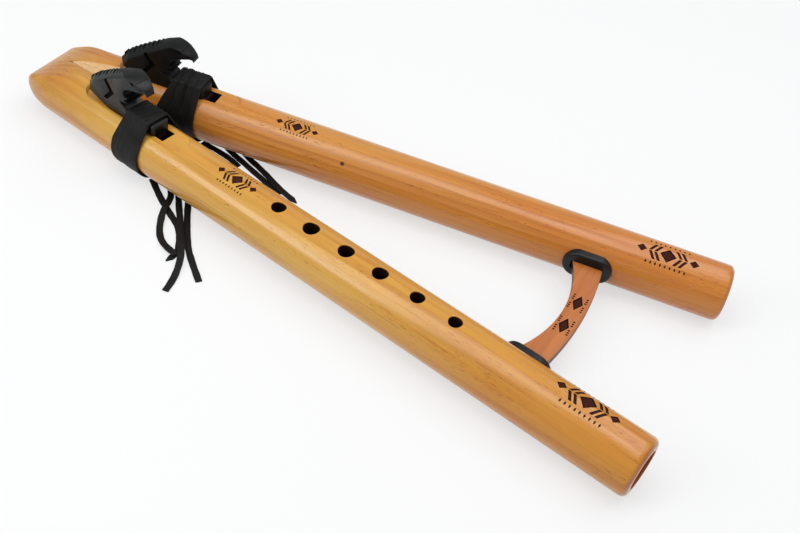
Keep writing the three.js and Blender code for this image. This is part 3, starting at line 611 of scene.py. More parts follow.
# The foot colours below darken the feet, partly as painted shade.
outer_wood = {
    "melody": varnished_wood(
        "honey_wood", -1, early=(0.67, 0.350, 0.058), late=(0.54, 0.240, 0.022),
        mouth=(0.82, 0.72, 0.62), foot=(0.90, 0.72, 0.46), pith=MELODY_PITH),
    "drone": varnished_wood(
        "amber_wood", 1, early=(0.62, 0.265, 0.050), late=(0.48, 0.175, 0.020),
        mouth=(0.88, 0.95, 0.90), foot=(1.00, 0.84, 0.62), pith=DRONE_PITH, knots=[PIN_KNOT]),
}
# The drone's filed face gets paler wood than the rest: a painted highlight on the slope of the V between the
# tubes.
filed_face_highlight_wood = varnished_wood(
    "filed_face_highlight_wood", 1, early=(0.66, 0.40, 0.14), late=(0.54, 0.29, 0.085),
    mouth=(1.0, 1.0, 1.0), foot=(1.0, 1.0, 1.0), pith=DRONE_PITH)
# Inside the chambers, holes and sound hole the wood is painted near black as shade, lifting to red brown at
# the open foot.
shaded_inner_wood = shaded_bare_wood("chamber_wood_in_shade", colour=(0.030, 0.011, 0.006), dark=(0.012, 0.004, 0.003))
char_edge = burned("char_edge", colour=(0.018, 0.007, 0.005), dark=(0.008, 0.003, 0.002))
char_fill = burned("char_fill", colour=(0.070, 0.019, 0.013), dark=(0.028, 0.007, 0.005))

# Burned marks
# Patterns of lozenges, bars and teeth, pressed into the wood with hot irons before it is varnished.
# Each flute has one below its sound hole and one near its foot.

MARK_DEPTH = 0.00025
CHARRED_RIM = 0.22           # share of a stamp's width that is charred darkest
# Middle along and outwards, half length and half width of each mark, both along the surface
MARKS = {
    "melody": [(0.2300, 0.0, 0.0150, 0.0082), (0.4715, -0.0036, 0.0190, 0.0102)],
    "drone": [(0.2295, -0.0032, 0.0145, 0.0066), (0.4710, -0.0040, 0.0190, 0.0088)],
}


def lozenge(along, across, long, wide):
    """Corners of a lozenge about a place, as shares of a mark's half length and half width."""
    return [(along - long, across), (along, across - wide), (along + long, across), (along, across + wide)]


def mark_patches():
    """The pattern, as four-cornered patches in shares of its half length and half width: a large
    lozenge, two bent bars on each side of it, an end lozenge, and rows of teeth along both sides."""
    patches = [lozenge(0, 0, 0.27, 0.56)]
    for end in (-1, 1):
        patches.append(lozenge(0.84 * end, 0, 0.16, 0.30))
        for across in (-1, 1):
            for inner in (0.36, 0.53):
                patches.append([
                    (end * inner, 0.03 * across), (end * (inner + 0.10), 0.03 * across),
                    (end * (inner - 0.07), 0.62 * across), (end * (inner - 0.17), 0.62 * across),
                ])
    for across in (-1, 1):
        for tooth in np.linspace(-0.62, 0.62, 9):
            patches.append(lozenge(tooth, 0.88 * across, 0.035, 0.13))
    return patches


def stamp(corners, surface, rim):
    """A closed cutter over a convex patch: rings that widen from its middle to its outline at the
    burned depth, then narrow again above the wood. surface gives a point for a place on the patch and
    a height over the wood. The rim's share of the width is charred darkest."""
    corners = np.array(corners, dtype=float)
    share = np.arange(6)[:, None] / 6
    following = np.roll(corners, -1, axis=0)
    outline = (corners[:, None] * (1 - share) + following[:, None] * share).reshape(-1, 2)
    centre = corners.mean(axis=0)
    widths = [0.3, 0.6, 1 - rim, 1]
    low = [surface(centre + (outline - centre) * w, -MARK_DEPTH) for w in widths]
    high = [surface(centre + (outline - centre) * w, OVERRUN / 6) for w in widths[::-1]]
    piece = skin("cutter", np.stack(low + high), [char_edge, char_fill])
    filled = len(outline) * (len(widths) - 2)
    inner_faces = np.zeros(len(piece.data.polygons), dtype=int)
    inner_faces[:filled] = 1
    inner_faces[-2 * len(outline):-len(outline)] = 1
    piece.data.polygons.foreach_set("material_index", inner_faces)
    return piece


def mark_cutter(mark, side):
    """All stamps of one mark, laid round the tube: a place across is an arc length over the radius."""
    middle_s, middle_w, half_s, half_w = mark

    def surface(places, height):
        angle = (middle_w + places[:, 1] * half_w) / TUBE_RADIUS
        radius = TUBE_RADIUS + height
        return laid(np.column_stack([
            middle_s + places[:, 0] * half_s, radius * np.sin(angle), radius * np.cos(angle),
        ]), side)

    return joined([stamp(corners, surface, CHARRED_RIM) for corners in mark_patches()])


# Flutes, hollowed and split
# The halves meet level with the axis, and the two flutes meet on the middle line at the mouth. There
# the drone's back is filed flat down to the line, a little deeper than the melody flute's edge.

# The filed face along the middle line: place from the apex and height over the axis. It climbs to
# the drone's side as far as it goes up.
FILED_FACE = [(0.0700, 0.0136), (0.0800, 0.0117), (0.0900, 0.0094), (0.1150, 0.0030)]
FILED_TOP = 0.04
FILED_OVER = 0.02            # how far the file runs over the middle line
# The dark line along it, a thin groove lined with the near black inside wood as painted shade in
# the crease: how far it is cut under the face, over it and into the drone
CREASE_SHADE_UNDER, CREASE_SHADE_OVER, CREASE_SHADE_WIDTH = 0.0008, 0.001, 0.0004
FOOT_RIM = 0.0009            # the bore's rounded edge
NEST_LEAN = (-0.001, 0.006)  # what the nest's rounded ends gain at its floor and at the cutter's top
WINDWAY_DEPTH = 0.001
EXIT_SPAN = (0.007, 0.001)   # where the exit hole starts and stops, back from the slow chamber's end
EDGE_DROP = 0.0007           # the splitting edge under the nest's floor
RAMP_DEPTH, RAMP_LENGTH = 0.0055, 0.0085
BREATH_OVERRUN = 0.03
# Half the length, width and height of a cutter that takes away everything on one side of a plane
CLEAR_LENGTH, CLEAR_WIDTH, CLEAR_HEIGHT = 0.4, 0.2, 0.1
MITRE_START = APEX_X - 0.1   # well before the mouth
SHARP_ANGLE = math.radians(28)

for name, side in FLUTES.items():
    wood = flute_blank(f"{name}_wood", side, [outer_wood[name]])
    corner = np.linspace(0, np.pi / 2, 7)
    inner = BORE_RADIUS - SLOW_CORNER
    slow_chamber = (
        [(SLOW_START + SLOW_CORNER * (1 - math.cos(a)), inner + SLOW_CORNER * math.sin(a)) for a in corner]
        + [(SLOW_END - SLOW_CORNER * (1 - math.sin(a)), inner + SLOW_CORNER * math.cos(a)) for a in corner]
    )
    sound_chamber = [(CHAMBER_START, BORE_RADIUS)] + [
        (FOOT_REACH - FOOT_RIM * (1 - math.sin(a)), BORE_RADIUS + FOOT_RIM * (1 - math.cos(a)))
        for a in corner[:-1]
    ] + [(FOOT_REACH + OVERRUN, BORE_RADIUS + FOOT_RIM)]
    nest_turn = np.linspace(-np.pi / 2, np.pi / 2, 25)
    nest_end = np.column_stack([np.cos(nest_turn), np.sin(nest_turn)])
    nest_plan, nest_rim = (
        np.vstack([
            (NEST_CUTTER + gain) * nest_end + (NEST_SPAN[1] - NEST_CUTTER, 0),
            -(NEST_CUTTER + gain) * nest_end + (NEST_SPAN[0] + NEST_CUTTER, 0),
        ]) for gain in NEST_LEAN
    )
    edge = NEST_HEIGHT - EDGE_DROP
    ramp_side = [
        (SOUND_HOLE[0], edge), (SOUND_HOLE[0], edge - RAMP_DEPTH),
        (SOUND_HOLE[1] + RAMP_LENGTH, edge - RAMP_DEPTH), (SOUND_HOLE[1], edge),
    ]
    wide = WINDWAY_WIDTH / 2
    exit_start, exit_stop = SLOW_END - EXIT_SPAN[0], SLOW_END - EXIT_SPAN[1]
    breath_hole = [(MOUTH_REACH - BREATH_OVERRUN, BREATH_RADIUS), (SLOW_START + SLOW_CORNER, BREATH_RADIUS)]
    ramp_rings = np.array([[(s, o, z) for s, z in ramp_side] for o in (-wide, wide)])
    # Chambers, holes and the air way are lined with the painted shade wood.
    cutters = [
        turned_cutter(slow_chamber, side, shaded_inner_wood),
        turned_cutter(sound_chamber, side, shaded_inner_wood),
        turned_cutter(breath_hole, side, shaded_inner_wood),
        upright_cutter(nest_plan, NEST_HEIGHT, TUBE_RADIUS + OVERRUN, side, outer_wood[name], nest_rim),
        upright_cutter(oblong(exit_start, exit_stop, wide), 0, TUBE_RADIUS, side, shaded_inner_wood),
        upright_cutter(
            oblong(exit_start, SOUND_HOLE[1], wide), NEST_HEIGHT - WINDWAY_DEPTH, TUBE_RADIUS,
            side, shaded_inner_wood),
        upright_cutter(oblong(*SOUND_HOLE, wide), 0, TUBE_RADIUS + OVERRUN, side, shaded_inner_wood),
        skin("cutter", laid(ramp_rings, side), [shaded_inner_wood]),
    ]
    if name == "melody":
        cutters.append(joined([
            finger_hole_cutter(CHAMBER_START + place, radius, side, shaded_inner_wood, outer_wood[name])
            for place, radius in FINGER_HOLES
        ]))
    cutters += [mark_cutter(mark, side) for mark in MARKS[name]]
    if name == "drone":
        filed = np.array([
            [(s, 0, z), (s, -FILED_OVER, FILED_TOP), (s, FILED_TOP - z, FILED_TOP)] for s, z in FILED_FACE
        ])
        # A thin dark groove along the crease: painted shade.
        crease_shade_groove = np.array([
            [
                (s, -FILED_OVER / 2, z - CREASE_SHADE_UNDER), (s, CREASE_SHADE_WIDTH, z - CREASE_SHADE_UNDER),
                (s, CREASE_SHADE_WIDTH, z + CREASE_SHADE_OVER), (s, -FILED_OVER / 2, z + CREASE_SHADE_OVER),
            ] for s, z in FILED_FACE
        ])
        middle_line = (APEX_X, 0, AXIS_HEIGHT)
        # The filed face takes the paler wood of the painted highlight.
        cutters.append(skin("cutter", filed + middle_line, [filed_face_highlight_wood]))
        cutters.append(skin("cutter", crease_shade_groove + middle_line, [shaded_inner_wood]))
    across_mitre = np.array([
        [
            (MITRE_START, -side * CLEAR_WIDTH, z), (CLEAR_LENGTH, -side * CLEAR_WIDTH, z),
            (CLEAR_LENGTH, 0, z), (MITRE_START, 0, z),
        ] for z in (-CLEAR_HEIGHT, CLEAR_HEIGHT)
    ])
    cutters.append(skin("cutter", across_mitre, [outer_wood[name]]))
    cut(wood, cutters)
    for half, taken_off in (("upper", (-CLEAR_WIDTH, AXIS_HEIGHT)), ("lower", (AXIS_HEIGHT, CLEAR_WIDTH))):
        piece = wood.copy()
        piece.data = wood.data.copy()
        piece.name = f"{name}_{half}_wood"
        bpy.context.collection.objects.link(piece)
        other = np.array([
            [
                (-CLEAR_LENGTH, -CLEAR_WIDTH, z), (CLEAR_LENGTH, -CLEAR_WIDTH, z),
                (CLEAR_LENGTH, CLEAR_WIDTH, z), (-CLEAR_LENGTH, CLEAR_WIDTH, z),
            ] for z in taken_off
        ])
        cut(piece, [skin("cutter", other, [shaded_inner_wood])])
        piece.data.shade_smooth()
        piece.data.set_sharp_from_angle(angle=SHARP_ANGLE)
        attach(piece, "flutes")
        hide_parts(f"{name}_{half}_half")
    bpy.data.meshes.remove(wood.data)

# Blocks
# Each block is a bird of prey's head on a flat neck, sawn and filed from hardwood and painted satin
# black, the drone's duller. It lies on the nest over the air way, and only its strap holds it there.

EYE = [(0.1466, 0.0456), (0.1488, 0.0437), (0.1512, 0.0436), (0.1498, 0.0455)]
CHEVRON = [
    (0.1226, 0.0222), (0.1262, 0.0222), (0.1328, 0.0296),
    (0.1268, 0.0372), (0.1232, 0.0372), (0.1290, 0.0296),
]
NOSTRIL = [(0.1529, 0.0426), (0.1536, 0.0420), (0.1556, 0.0417), (0.1549, 0.0424)]
# A fine groove across the head, between its crown and the beak
CERE = [(0.1503, 0.0470), (0.1512, 0.04515), (0.1521, 0.0470)]
# What is filed off the back of the neck, which leaves a tuft above it
TAIL = {
    "melody": [(0.098, 0.0215), (0.1078, 0.0242), (0.1058, 0.0266), (0.098, 0.0290)],
    "drone": [(0.098, 0.0215), (0.1094, 0.0258), (0.1077, 0.0284), (0.098, 0.0300)],
}
# The crest's ridge, places and heights, and the notches in it, places and depths
RIDGE = [(0.1047, 0.0255), (0.1172, 0.0356), (0.1255, 0.0410), (0.1345, 0.0457)]
NOTCHES = [
    (0.1092, 0.0024), (0.1124, 0.0018), (0.1157, 0.0027), (0.1191, 0.0021), (0.1224, 0.0028),
    (0.1257, 0.0020), (0.1291, 0.0025), (0.1322, 0.0018), (0.1350, 0.0011),
]
# How far out from the middle each recess of the cheeks is cut
CHEEK_CUTS = [(EYE, 0.0057), (CHEVRON, 0.0058), (NOSTRIL, 0.0033)]
NOTCH_BACK, NOTCH_POINT, NOTCH_FRONT = -0.0030, 0.0003, 0.0026
NOTCH_TOP = 0.003
BLOCK_REACH = 0.012          # past the block's sides
BLOCK_EDGE = 0.0003          # what the file takes off the edges
DRONE_BLOCK_SHIFT = -0.0015


def side_cutter(outline, near, far, side, material, shift=0.0):
    """A prism through an outline seen from the side, between two distances outwards."""
    outline = np.array(outline, dtype=float)
    rings = np.stack([
        np.column_stack([outline[:, 0] + shift, np.full(len(outline), o), outline[:, 1]])
        for o in (near, far)
    ])
    return skin("cutter", laid(rings, side), [material])


def painted_black(name, colour, worn, roughness, gloss):
    """Satin black paint over filed wood: faint file marks and slightly paler rubbed places."""
    material, tree, shader = new_material(name)
    place = add(tree, "TexCoord", {}).outputs["Object"]
    rub = add(tree, "TexNoise", {"Vector": place, "Scale": 130.0, "Detail": 4.0}).outputs["Fac"]
    file_marks = drawn_noise(tree, place, (120.0, 900.0, 700.0), 3.0)
    feed(tree, shader, {
        "Base Color": ramp(tree, rub, (0.4, colour), (0.75, worn)),
        "Roughness": ramp(tree, rub, (0.3, roughness + 0.05), (0.8, roughness - 0.05)),
        "Specular IOR Level": gloss,
        "Normal": bumped(tree, file_marks, 0.2, 0.0001),
    })
    return material


black_paint = painted_black(
    "black_paint", colour=(0.004, 0.0045, 0.005), worn=(0.008, 0.0085, 0.009), roughness=0.34, gloss=0.30)
dull_paint = painted_black(
    "dull_paint", colour=(0.005, 0.0055, 0.006), worn=(0.009, 0.0095, 0.010), roughness=0.42, gloss=0.16)
# The cheek recesses get a darker, duller copy of the black paint: painted shade in the recesses.
recess_shade_paint = painted_black(
    "recess_shade_paint", colour=(0.0015, 0.0015, 0.0015), worn=(0.003, 0.003, 0.003), roughness=0.8, gloss=0.1)

for name, side in FLUTES.items():
    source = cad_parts[f"{name}_block"]
    block = bpy.data.objects.new(f"{name}_bird_block", source.data.copy())
    block.data.transform(source.matrix_world)
    bpy.context.collection.objects.link(block)
    form = bmesh.new()
    form.from_mesh(block.data)
    bmesh.ops.remove_doubles(form, verts=form.verts, dist=1e-6)
    bmesh.ops.dissolve_limit(form, angle_limit=math.radians(2), verts=form.verts, edges=form.edges)
    form.to_mesh(block.data)
    form.free()
    block.data.materials.clear()
    paint = black_paint if name == "melody" else dull_paint
    block.data.materials.append(paint)
    block.data.polygons.foreach_set("material_index", [0] * len(block.data.polygons))
    shift = DRONE_BLOCK_SHIFT if name == "drone" else 0.0
    cutters = [
        side_cutter(outline, -BLOCK_REACH, BLOCK_REACH, side, paint, shift)
        for outline in (TAIL[name], CERE)
    ]
    for face in (-1, 1):
        for outline, floor in CHEEK_CUTS:
            # Each cheek recess is lined with the painted shade paint.
            cutters.append(side_cutter(outline, face * floor, face * BLOCK_REACH, side, recess_shade_paint, shift))
    for s, depth in NOTCHES:
        z = float(np.interp(s, *np.transpose(RIDGE)))
        top = z + NOTCH_TOP
        notch = [(s + NOTCH_BACK, top), (s + NOTCH_POINT, z - depth), (s + NOTCH_FRONT, top)]
        cutters.append(side_cutter(notch, -BLOCK_REACH, BLOCK_REACH, side, paint, shift))
    cut(block, cutters)
    soften = block.modifiers.new("soften", "BEVEL")
    soften.width = BLOCK_EDGE
    soften.segments = 2
    soften.limit_method = "ANGLE"
    soften.angle_limit = SHARP_ANGLE
    soften.harden_normals = True
    block.data.shade_smooth()
    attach(block, f"{name}_block")
    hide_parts(f"{name}_block")

# Straps
# A broad band of soft black leather goes once round each tube and over its block's neck, drawn tight
# and tied low down. It creases over the neck's corners, and the drone's is gathered into pleats.

STRAP_THICKNESS = 0.0016
STRAP_FRONT = 0.1640
STRAP_FOLD = 0.0006
NECK_TOP = 0.0230
NECK_HALF = 0.0068
STRAP_GAP = 0.0003
EDGE_WANDER = 0.0002         # how far the edges stray from a straight line
CORNER_CREASE, SLACK_CREASE = 0.00016, 0.00012
CREASE_REACH = 0.003         # how far from the neck's corners the creases fade
PLEAT_SWELL = 0.00015        # what each pleat adds to the band's fullness
# Rear edge beside the tube and over the neck, and the pleats: share of the width, depth and half width
STRAPS = {
    "melody": (0.1415, 0.1446, [(0.70, 0.00032, 0.030), (0.33, 0.00022, 0.020)]),
    "drone": (0.1376, 0.1432, [
        (0.24, 0.0006, 0.022), (0.47, 0.0012, 0.018), (0.54, 0.0010, 0.016), (0.78, 0.0010, 0.024),
    ]),
}

strap_leather = leather(
    "strap_leather", colour=(0.004, 0.0038, 0.0035), worn=(0.010, 0.0097, 0.0092), gloss=0.22)


def strap_path(steps=48):
    """Inner line of a taut band round the tube and the neck's two top corners, and its normals. Each
    side is an arc about the tube, a straight run and a small arc about the corner."""
    inner = TUBE_RADIUS + STRAP_GAP
    fold = np.array([NECK_HALF + STRAP_GAP - STRAP_FOLD, NECK_TOP + STRAP_GAP - STRAP_FOLD])
    leave = math.atan2(fold[1], fold[0]) - math.acos((inner - STRAP_FOLD) / np.hypot(*fold))
    round_tube = np.linspace(-np.pi / 2, leave, steps)
    round_fold = np.linspace(leave, np.pi / 2, 9)
    run = np.linspace(0, 1, 14)[1:-1, None]

    def arc(centre, radius, angles):
        normals = np.column_stack([np.cos(angles), np.sin(angles)])
        return centre + radius * normals, normals

    tube, tube_normals = arc(0, inner, round_tube)
    corner, corner_normals = arc(fold, STRAP_FOLD, round_fold)
    straight = tube[-1] * (1 - run) + corner[0] * run
    points = np.vstack([tube, straight, corner])
    straight_normals = np.repeat(tube_normals[-1:], len(straight), axis=0)
    normals = np.vstack([tube_normals, straight_normals, corner_normals])
    over = np.linspace(1, -1, 12)[1:-1, None] * [corner[-1, 0], 0] + [0, corner[-1, 1]]
    flip = np.array([-1, 1])
    points = np.vstack([points, over, (points * flip)[::-1]])
    normals = np.vstack([normals, np.repeat([[0.0, 1.0]], len(over), axis=0), (normals * flip)[::-1]])
    return points[:-1], normals[:-1]


def strap_rings(rear_low, rear_high, pleats, across=120):
    """Closed cross-sections of the band, one for each place round it. The outside is a row of points
    from the front edge to the rear one, rounded at both. Pleats are bell-shaped furrows that lean as
    they go round, deepest beside the neck, and low creases fade with the distance from its corners."""
    points, normals = strap_path()
    o, z = points[:, 0:1], points[:, 1:2]
    climb = np.clip((z - NEST_HEIGHT / 2) / (NECK_TOP - STRAP_FOLD - NEST_HEIGHT / 2), 0, 1)
    rear = rear_low + (rear_high - rear_low) * climb
    share = np.linspace(0, 1, across)[None]
    wander = EDGE_WANDER * np.sin(o * 300 + z * 190)
    front = STRAP_FRONT + 0.5 * wander
    s = front + (rear + wander - front) * share
    middle = 1 - (2 * np.abs(share - 0.5)) ** 8
    around = np.clip((normals[:, 1:2] + 0.6) / 1.6, 0, 1)
    lean = 0.05 * np.sin(o * 190 + 0.8) + 0.02 * np.sin(z * 400)
    furrow = around * sum(
        depth * np.exp(-((share - place - lean * (0.4 + place)) / wide) ** 2)
        for place, depth, wide in pleats
    )
    corner = np.exp(-((np.abs(o) - NECK_HALF) / CREASE_REACH) ** 2) * around
    crease = CORNER_CREASE * corner * np.sin(s * 1500 + o * 500)
    crease = crease + SLACK_CREASE * np.sin(s * 610 + o * 260 + z * 130)
    edge = STRAP_THICKNESS / 2 * (1 - np.sqrt(np.clip(1 - (2 * np.abs(share - 0.5)) ** 60, 0, 1)))
    swell = PLEAT_SWELL * len(pleats) * around * middle
    out = STRAP_THICKNESS - edge + swell + (crease - furrow) * middle
    outer = np.stack([s, o + normals[:, 0:1] * out, z + normals[:, 1:2] * out], axis=-1)
    inside = np.linspace(1, 0, 10)[None]
    inner_s = front + (rear + wander - front) * inside
    lift = STRAP_THICKNESS / 2 * (1 - np.sqrt(np.clip(1 - (2 * np.abs(inside - 0.5)) ** 12, 0, 1)))
    inner = np.stack([inner_s, o + normals[:, 0:1] * lift, z + normals[:, 1:2] * lift], axis=-1)
    rings = np.concatenate([outer, inner], axis=1)
    rings[..., 2] = np.maximum(rings[..., 2], -AXIS_HEIGHT)
    return rings


for name, (rear_low, rear_high, pleats) in STRAPS.items():
    band = laid(strap_rings(rear_low, rear_high, pleats), FLUTES[name])
    strap = skin(f"{name}_leather_strap", band, [strap_leather], loop=True)
    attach(strap, "flutes")
    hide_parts(f"{name}_strap")

# Knots
# The strap's ends and the laces are tied in a flat knot of two crossing turns of leather. It lies low
# beside each tube, on the side that faces +Y.

KNOT_RADIUS = 0.0024
KNOT_SPAN = 0.0084
KNOT_TURN = 0.55
KNOT_LIFT = 0.0005           # how far one turn bows over the other
KNOT_RIPPLE = 0.00012
KNOT_OVAL = (0.92, 0.78)     # a turn's half width and half height, shares of the knot's radius
KNOT_SIDES = {"melody": -1, "drone": 1}


def knot_turn(side, knot_side, lean, lift):
    """One turn of the knot: an oval thong bowed over the other turn, its ends rounded off."""
    reach = STRAP_FRONT + STRAP_GAP + KNOT_RADIUS + KNOT_SPAN / 2 * math.cos(KNOT_TURN)
    height = STRAP_GAP + KNOT_RADIUS - AXIS_HEIGHT
    beside = math.sqrt((TUBE_RADIUS + STRAP_GAP + KNOT_RADIUS) ** 2 - height**2)
    out = knot_side * (beside + KNOT_SPAN / 2 * math.sin(KNOT_TURN))
    t = np.linspace(-1, 1, 41)[:, None]
    half = KNOT_SPAN / 2 + KNOT_RADIUS
    thick = KNOT_RADIUS * np.sqrt(np.clip(1 - np.abs(t) ** 5, 0.002, 1))
    turn = np.arange(28) * 2 * np.pi / 28
    along, across = t * half + 0 * turn, thick * np.cos(turn) * KNOT_OVAL[0]
    up = thick * np.sin(turn) * KNOT_OVAL[1] + lift * np.cos(t * np.pi / 2)
    up += KNOT_RIPPLE * np.sin(9 * turn + 14 * t)
    s = reach + along * math.cos(lean) - across * math.sin(lean)
    o = out + along * math.sin(lean) + across * math.cos(lean)
    return laid(np.stack([s, o, height + up], axis=-1), side)


for name, side in FLUTES.items():
    turns = [
        skin(f"{name}_knot_turns", knot_turn(side, KNOT_SIDES[name], KNOT_TURN, KNOT_LIFT), [lace_leather]),
        skin("turn", knot_turn(side, KNOT_SIDES[name], -KNOT_TURN, -KNOT_LIFT), [lace_leather]),
    ]
    knot = joined(turns)
    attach(knot, "flutes")
    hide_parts(f"{name}_knot")

# Brace
# A flat bar of reddish wood between the flutes keeps them apart. It is hollowed towards the mouth and
# bowed towards the foot, its edges are painted black, and its face carries two burned lozenges.

BRACE_REACH = 0.4284
BRACE_WIDTH = 0.0124
BRACE_THICKNESS = 0.006
BRACE_TOP = 0.0028
BRACE_MOUTH_RADIUS = 0.086
BRACE_FOOT_RADIUS = 0.217
BRACE_TOP_EDGE = 0.0007
BRACE_BOTTOM_EDGE = 0.0022
BRACE_MARKS = (-0.0105, 0.0105)      # places across the model
BRACE_MARK_SIZE = (0.0048, 0.0072)   # half length and half width
BRACE_MARK_RIM = 0.3
BRACE_TEETH = (-0.80, -0.54, -0.28, 0.28, 0.54, 0.80)
BRACE_MARK_BOW = 0.7                 # how closely the marks follow the hollow edge
SOCKET_START = 0.3                   # well before the brace


def brace_rings(clearance, mouth_gap=0.0, stations=97):
    """Cross-sections of the brace from the melody side to the drone side. Its two edges are arcs about
    the middle line, and each section is an oblong with its top corners eased and its bottom rounded."""
    y = np.linspace(-1, 1, stations)[:, None] * (BRACE_REACH + BRACE_WIDTH) * math.sin(SPLAY)
    low = APEX_X + BRACE_REACH - BRACE_MOUTH_RADIUS + np.sqrt(BRACE_MOUTH_RADIUS**2 - y**2)
    low -= clearance + mouth_gap
    high = APEX_X + BRACE_REACH + BRACE_WIDTH - BRACE_FOOT_RADIUS + np.sqrt(BRACE_FOOT_RADIUS**2 - y**2)
    high += clearance
    top = AXIS_HEIGHT + BRACE_TOP + clearance
    bottom = AXIS_HEIGHT + BRACE_TOP - BRACE_THICKNESS - clearance
    bend = np.linspace(0, np.pi / 2, 7)
    corners = [
        (low, 1, top, -1, BRACE_TOP_EDGE, bend), (high, -1, top, -1, BRACE_TOP_EDGE, bend[::-1]),
        (high, -1, bottom, 1, BRACE_BOTTOM_EDGE, bend), (low, 1, bottom, 1, BRACE_BOTTOM_EDGE, bend[::-1]),
    ]
    x = np.hstack([edge + inward * size * (1 - np.cos(a)) for edge, inward, _, _, size, a in corners])
    z = np.hstack([level + inward * size * (1 - np.sin(a)) for _, _, level, inward, size, a in corners])
    return np.stack(np.broadcast_arrays(x, y, z[None]), axis=-1)


def red_wood(colour, dark):
    """Reddish brown hardwood with fine straight grain along the bar, oiled rather than varnished."""
    material, tree, shader = new_material("red_wood")
    place = add(tree, "TexCoord", {}).outputs["Object"]
    fibre = drawn_noise(tree, place, (420.0, 22.0, 300.0), 3.0)
    feed(tree, shader, {
        "Base Color": ramp(tree, fibre, (0.3, dark), (0.7, colour)),
        "Roughness": 0.46, "Normal": bumped(tree, fibre, 0.12, 0.0001),
    })
    return material


brace_wood = red_wood(colour=(0.52, 0.165, 0.033), dark=(0.40, 0.112, 0.021))
brace = skin("brace_bar", brace_rings(0), [brace_wood, black_paint])
levels = np.array([polygon.normal.z for polygon in brace.data.polygons])
brace.data.polygons.foreach_set("material_index", (np.abs(levels) < 0.5).astype(int))
socket = [(SOCKET_START, TUBE_RADIUS), (FOOT_REACH, TUBE_RADIUS)]
brace_stamps = []
for middle_y in BRACE_MARKS:
    middle_x = APEX_X + BRACE_REACH + BRACE_WIDTH / 2 - middle_y**2 / BRACE_MOUTH_RADIUS * BRACE_MARK_BOW

    def brace_surface(places, height, middle_x=middle_x, middle_y=middle_y):
        return np.column_stack([
            np.array([middle_x, middle_y]) + places * BRACE_MARK_SIZE,
            np.full(len(places), AXIS_HEIGHT + BRACE_TOP + height),
        ])

    patches = [lozenge(0, 0, 0.66, 0.92)]
    patches += [lozenge(0.84 * end, tooth, 0.20, 0.10) for end in (-1, 1) for tooth in BRACE_TEETH]
    brace_stamps += [stamp(corners, brace_surface, BRACE_MARK_RIM) for corners in patches]
cut(brace, [turned_cutter(socket, side, black_paint) for side in FLUTES.values()] + [joined(brace_stamps)])
brace.data.shade_smooth()
brace.data.set_sharp_from_angle(angle=SHARP_ANGLE)
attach(brace, "flutes")
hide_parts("brace")

# Collars
# A rounded black wooden ring fits against the side of each tube and takes the brace's end. Its back is
# hollowed to the tube.

COLLAR_LENGTH = 0.0304
COLLAR_HEIGHT = 0.018
COLLAR_EDGE = 0.0016
COLLAR_REACH = 0.4284
COLLAR_FACE = 0.0205
SLOT_PLAY = 0.0002           # round the brace's end in its slot
SLOT_GAP = 0.0008            # more play on the mouth's side


def collar_rings(steps=24):
    """Level rings of a plate with round ends, from inside the tube out to its face. The last rings draw
    in along a quarter circle, which rounds the face's edge."""
    turn = np.linspace(-np.pi / 2, np.pi / 2, steps)
    run = (COLLAR_LENGTH - COLLAR_HEIGHT) / 2
    bend = np.linspace(0, np.pi / 2, 7)
    inset = np.concatenate([[0], COLLAR_EDGE * (1 - np.cos(bend))])[:, None]
    out = np.concatenate([[BORE_RADIUS], COLLAR_FACE - COLLAR_EDGE * (1 - np.sin(bend))])
    end = COLLAR_HEIGHT / 2 - inset
    s = np.hstack([run + end * np.cos(turn), -run - end * np.cos(turn)]) + COLLAR_REACH
    z = np.hstack([end * np.sin(turn), -end * np.sin(turn)])
    return np.stack(np.broadcast_arrays(s, -out[:, None], z), axis=-1)


for name, side in FLUTES.items():
    collar = skin(f"{name}_black_collar", laid(collar_rings(), side), [black_paint])
    slot = skin("cutter", brace_rings(SLOT_PLAY, SLOT_GAP), [black_paint])
    cut(collar, [turned_cutter(socket, side, black_paint), slot])
    collar.data.shade_smooth()
    collar.data.set_sharp_from_angle(angle=math.radians(30))
    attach(collar, "flutes")
    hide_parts(f"{name}_collar")

# Floor and light
# The flutes lie on a white table in a bright room. One long softbox hangs over the mouth and one over
# the feet, with a third in front on the left and a broad one on the right. The floor rises by a
# strap's thickness to the feet.

FLOOR_HALF = 8.0
FLOOR_RISE = 0.0016
RISE_START, RISE_LENGTH = -0.02, 0.245
TABLE_WHITE = (0.73, 0.735, 0.74)    # for the light that it throws on the flutes
TABLE_SEEN = (0.31, 0.315, 0.32)     # for the camera and reflections, on top of its glow
TABLE_GLOW = 0.61
ROOM_LIGHT = 0.50
# Place, the point that it faces, the direction of its long side, its size, and its power in watts
LAMPS = {
    "overhead": ((-0.305, -0.367, 1.0), (-0.305, -0.367, 0.0), (0.55, 0.835, 0.0), (1.2, 0.4), 4.4),
    "over_foot": ((0.19, 0.42, 1.05), (0.19, 0.3, 0.0), (0.0, 1.0, 0.0), (1.6, 0.24), 3.2),
    "front_left": ((-0.75, -0.82, 0.74), (-0.12, -0.03, 0.03), (0.7, -0.7, 0.0), (0.55, 0.4), 3.3),
    "right": ((0.75, 0.55, 1.3), (0.3, 0.2, 0.0), (0.0, 1.0, 0.0), (0.9, 0.9), 4.2),
}

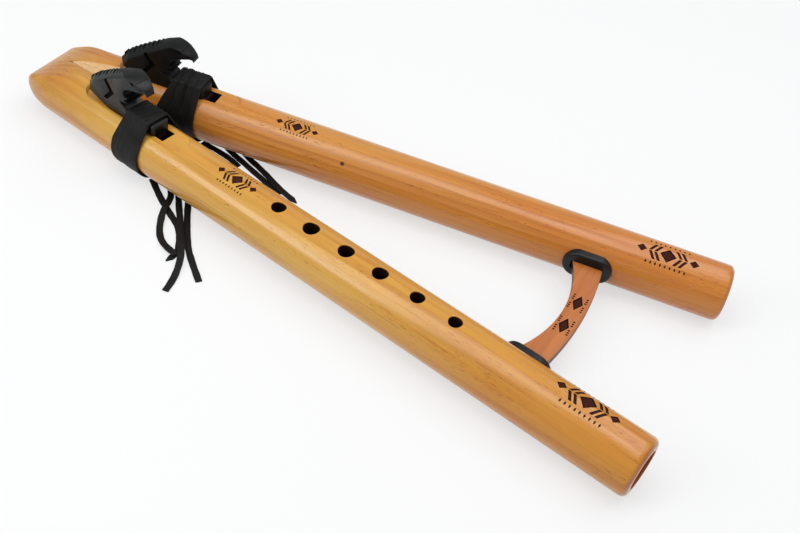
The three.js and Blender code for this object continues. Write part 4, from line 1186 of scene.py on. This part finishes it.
side_steps = np.concatenate([[-FLOOR_HALF], np.linspace(-0.5, 0.5, 101), [FLOOR_HALF]])
x, y = np.meshgrid(side_steps, side_steps, indexing="ij")
rise = np.clip((x - RISE_START) / RISE_LENGTH, 0, 1)
floor_points = np.stack([x, y, FLOOR_RISE * rise**2 * (3 - 2 * rise)], axis=-1).reshape(-1, 3)
index = np.arange(x.size).reshape(x.shape)
floor_faces = np.stack([index[:-1, :-1], index[1:, :-1], index[1:, 1:], index[:-1, 1:]], axis=-1)
floor_mesh = bpy.data.meshes.new("floor")
floor_mesh.from_pydata(floor_points.tolist(), [], floor_faces.reshape(-1, 4).tolist())
floor_mesh.shade_smooth()
floor = bpy.data.objects.new("floor", floor_mesh)
bpy.context.collection.objects.link(floor)

white, tree, shader = new_material("white_table")
path = add(tree, "LightPath", {}).outputs
seen = worked(tree, "MAXIMUM", path["Is Camera Ray"], path["Is Glossy Ray"])
seen = worked(tree, "MAXIMUM", seen, path["Is Transmission Ray"])
feed(tree, shader, {
    "Base Color": mixed(tree, seen, TABLE_WHITE, TABLE_SEEN),
    "Roughness": 0.9, "Specular IOR Level": 0.0, "Emission Color": (1, 1, 1, 1),
    "Emission Strength": worked(tree, "MULTIPLY", seen, TABLE_GLOW),
})
floor_mesh.materials.append(white)

world = bpy.data.worlds.new("bright_room")
bpy.context.scene.world = world
world.use_nodes = True
feed(world.node_tree, world.node_tree.nodes["Background"], {"Strength": ROOM_LIGHT, "Color": (1, 1, 1, 1)})


def softbox(name, place, target, level, size, power):
    """A rectangular area light at a place, turned to its target. Its long side runs along the given
    direction, as nearly as it can while facing the target."""
    lamp = bpy.data.lights.new(name, "AREA")
    lamp.shape = "RECTANGLE"
    lamp.size, lamp.size_y = size
    lamp.energy = power
    holder = bpy.data.objects.new(name, lamp)
    backwards = (Vector(place) - Vector(target)).normalized()
    upwards = backwards.cross(Vector(level)).normalized()
    along = upwards.cross(backwards)
    turned = Matrix((along, upwards, backwards)).transposed().to_4x4()
    holder.matrix_world = Matrix.Translation(place) @ turned
    bpy.context.collection.objects.link(holder)


for name, settings in LAMPS.items():
    softbox(name, *settings)

bpy.context.scene.view_settings.view_transform = "Standard"
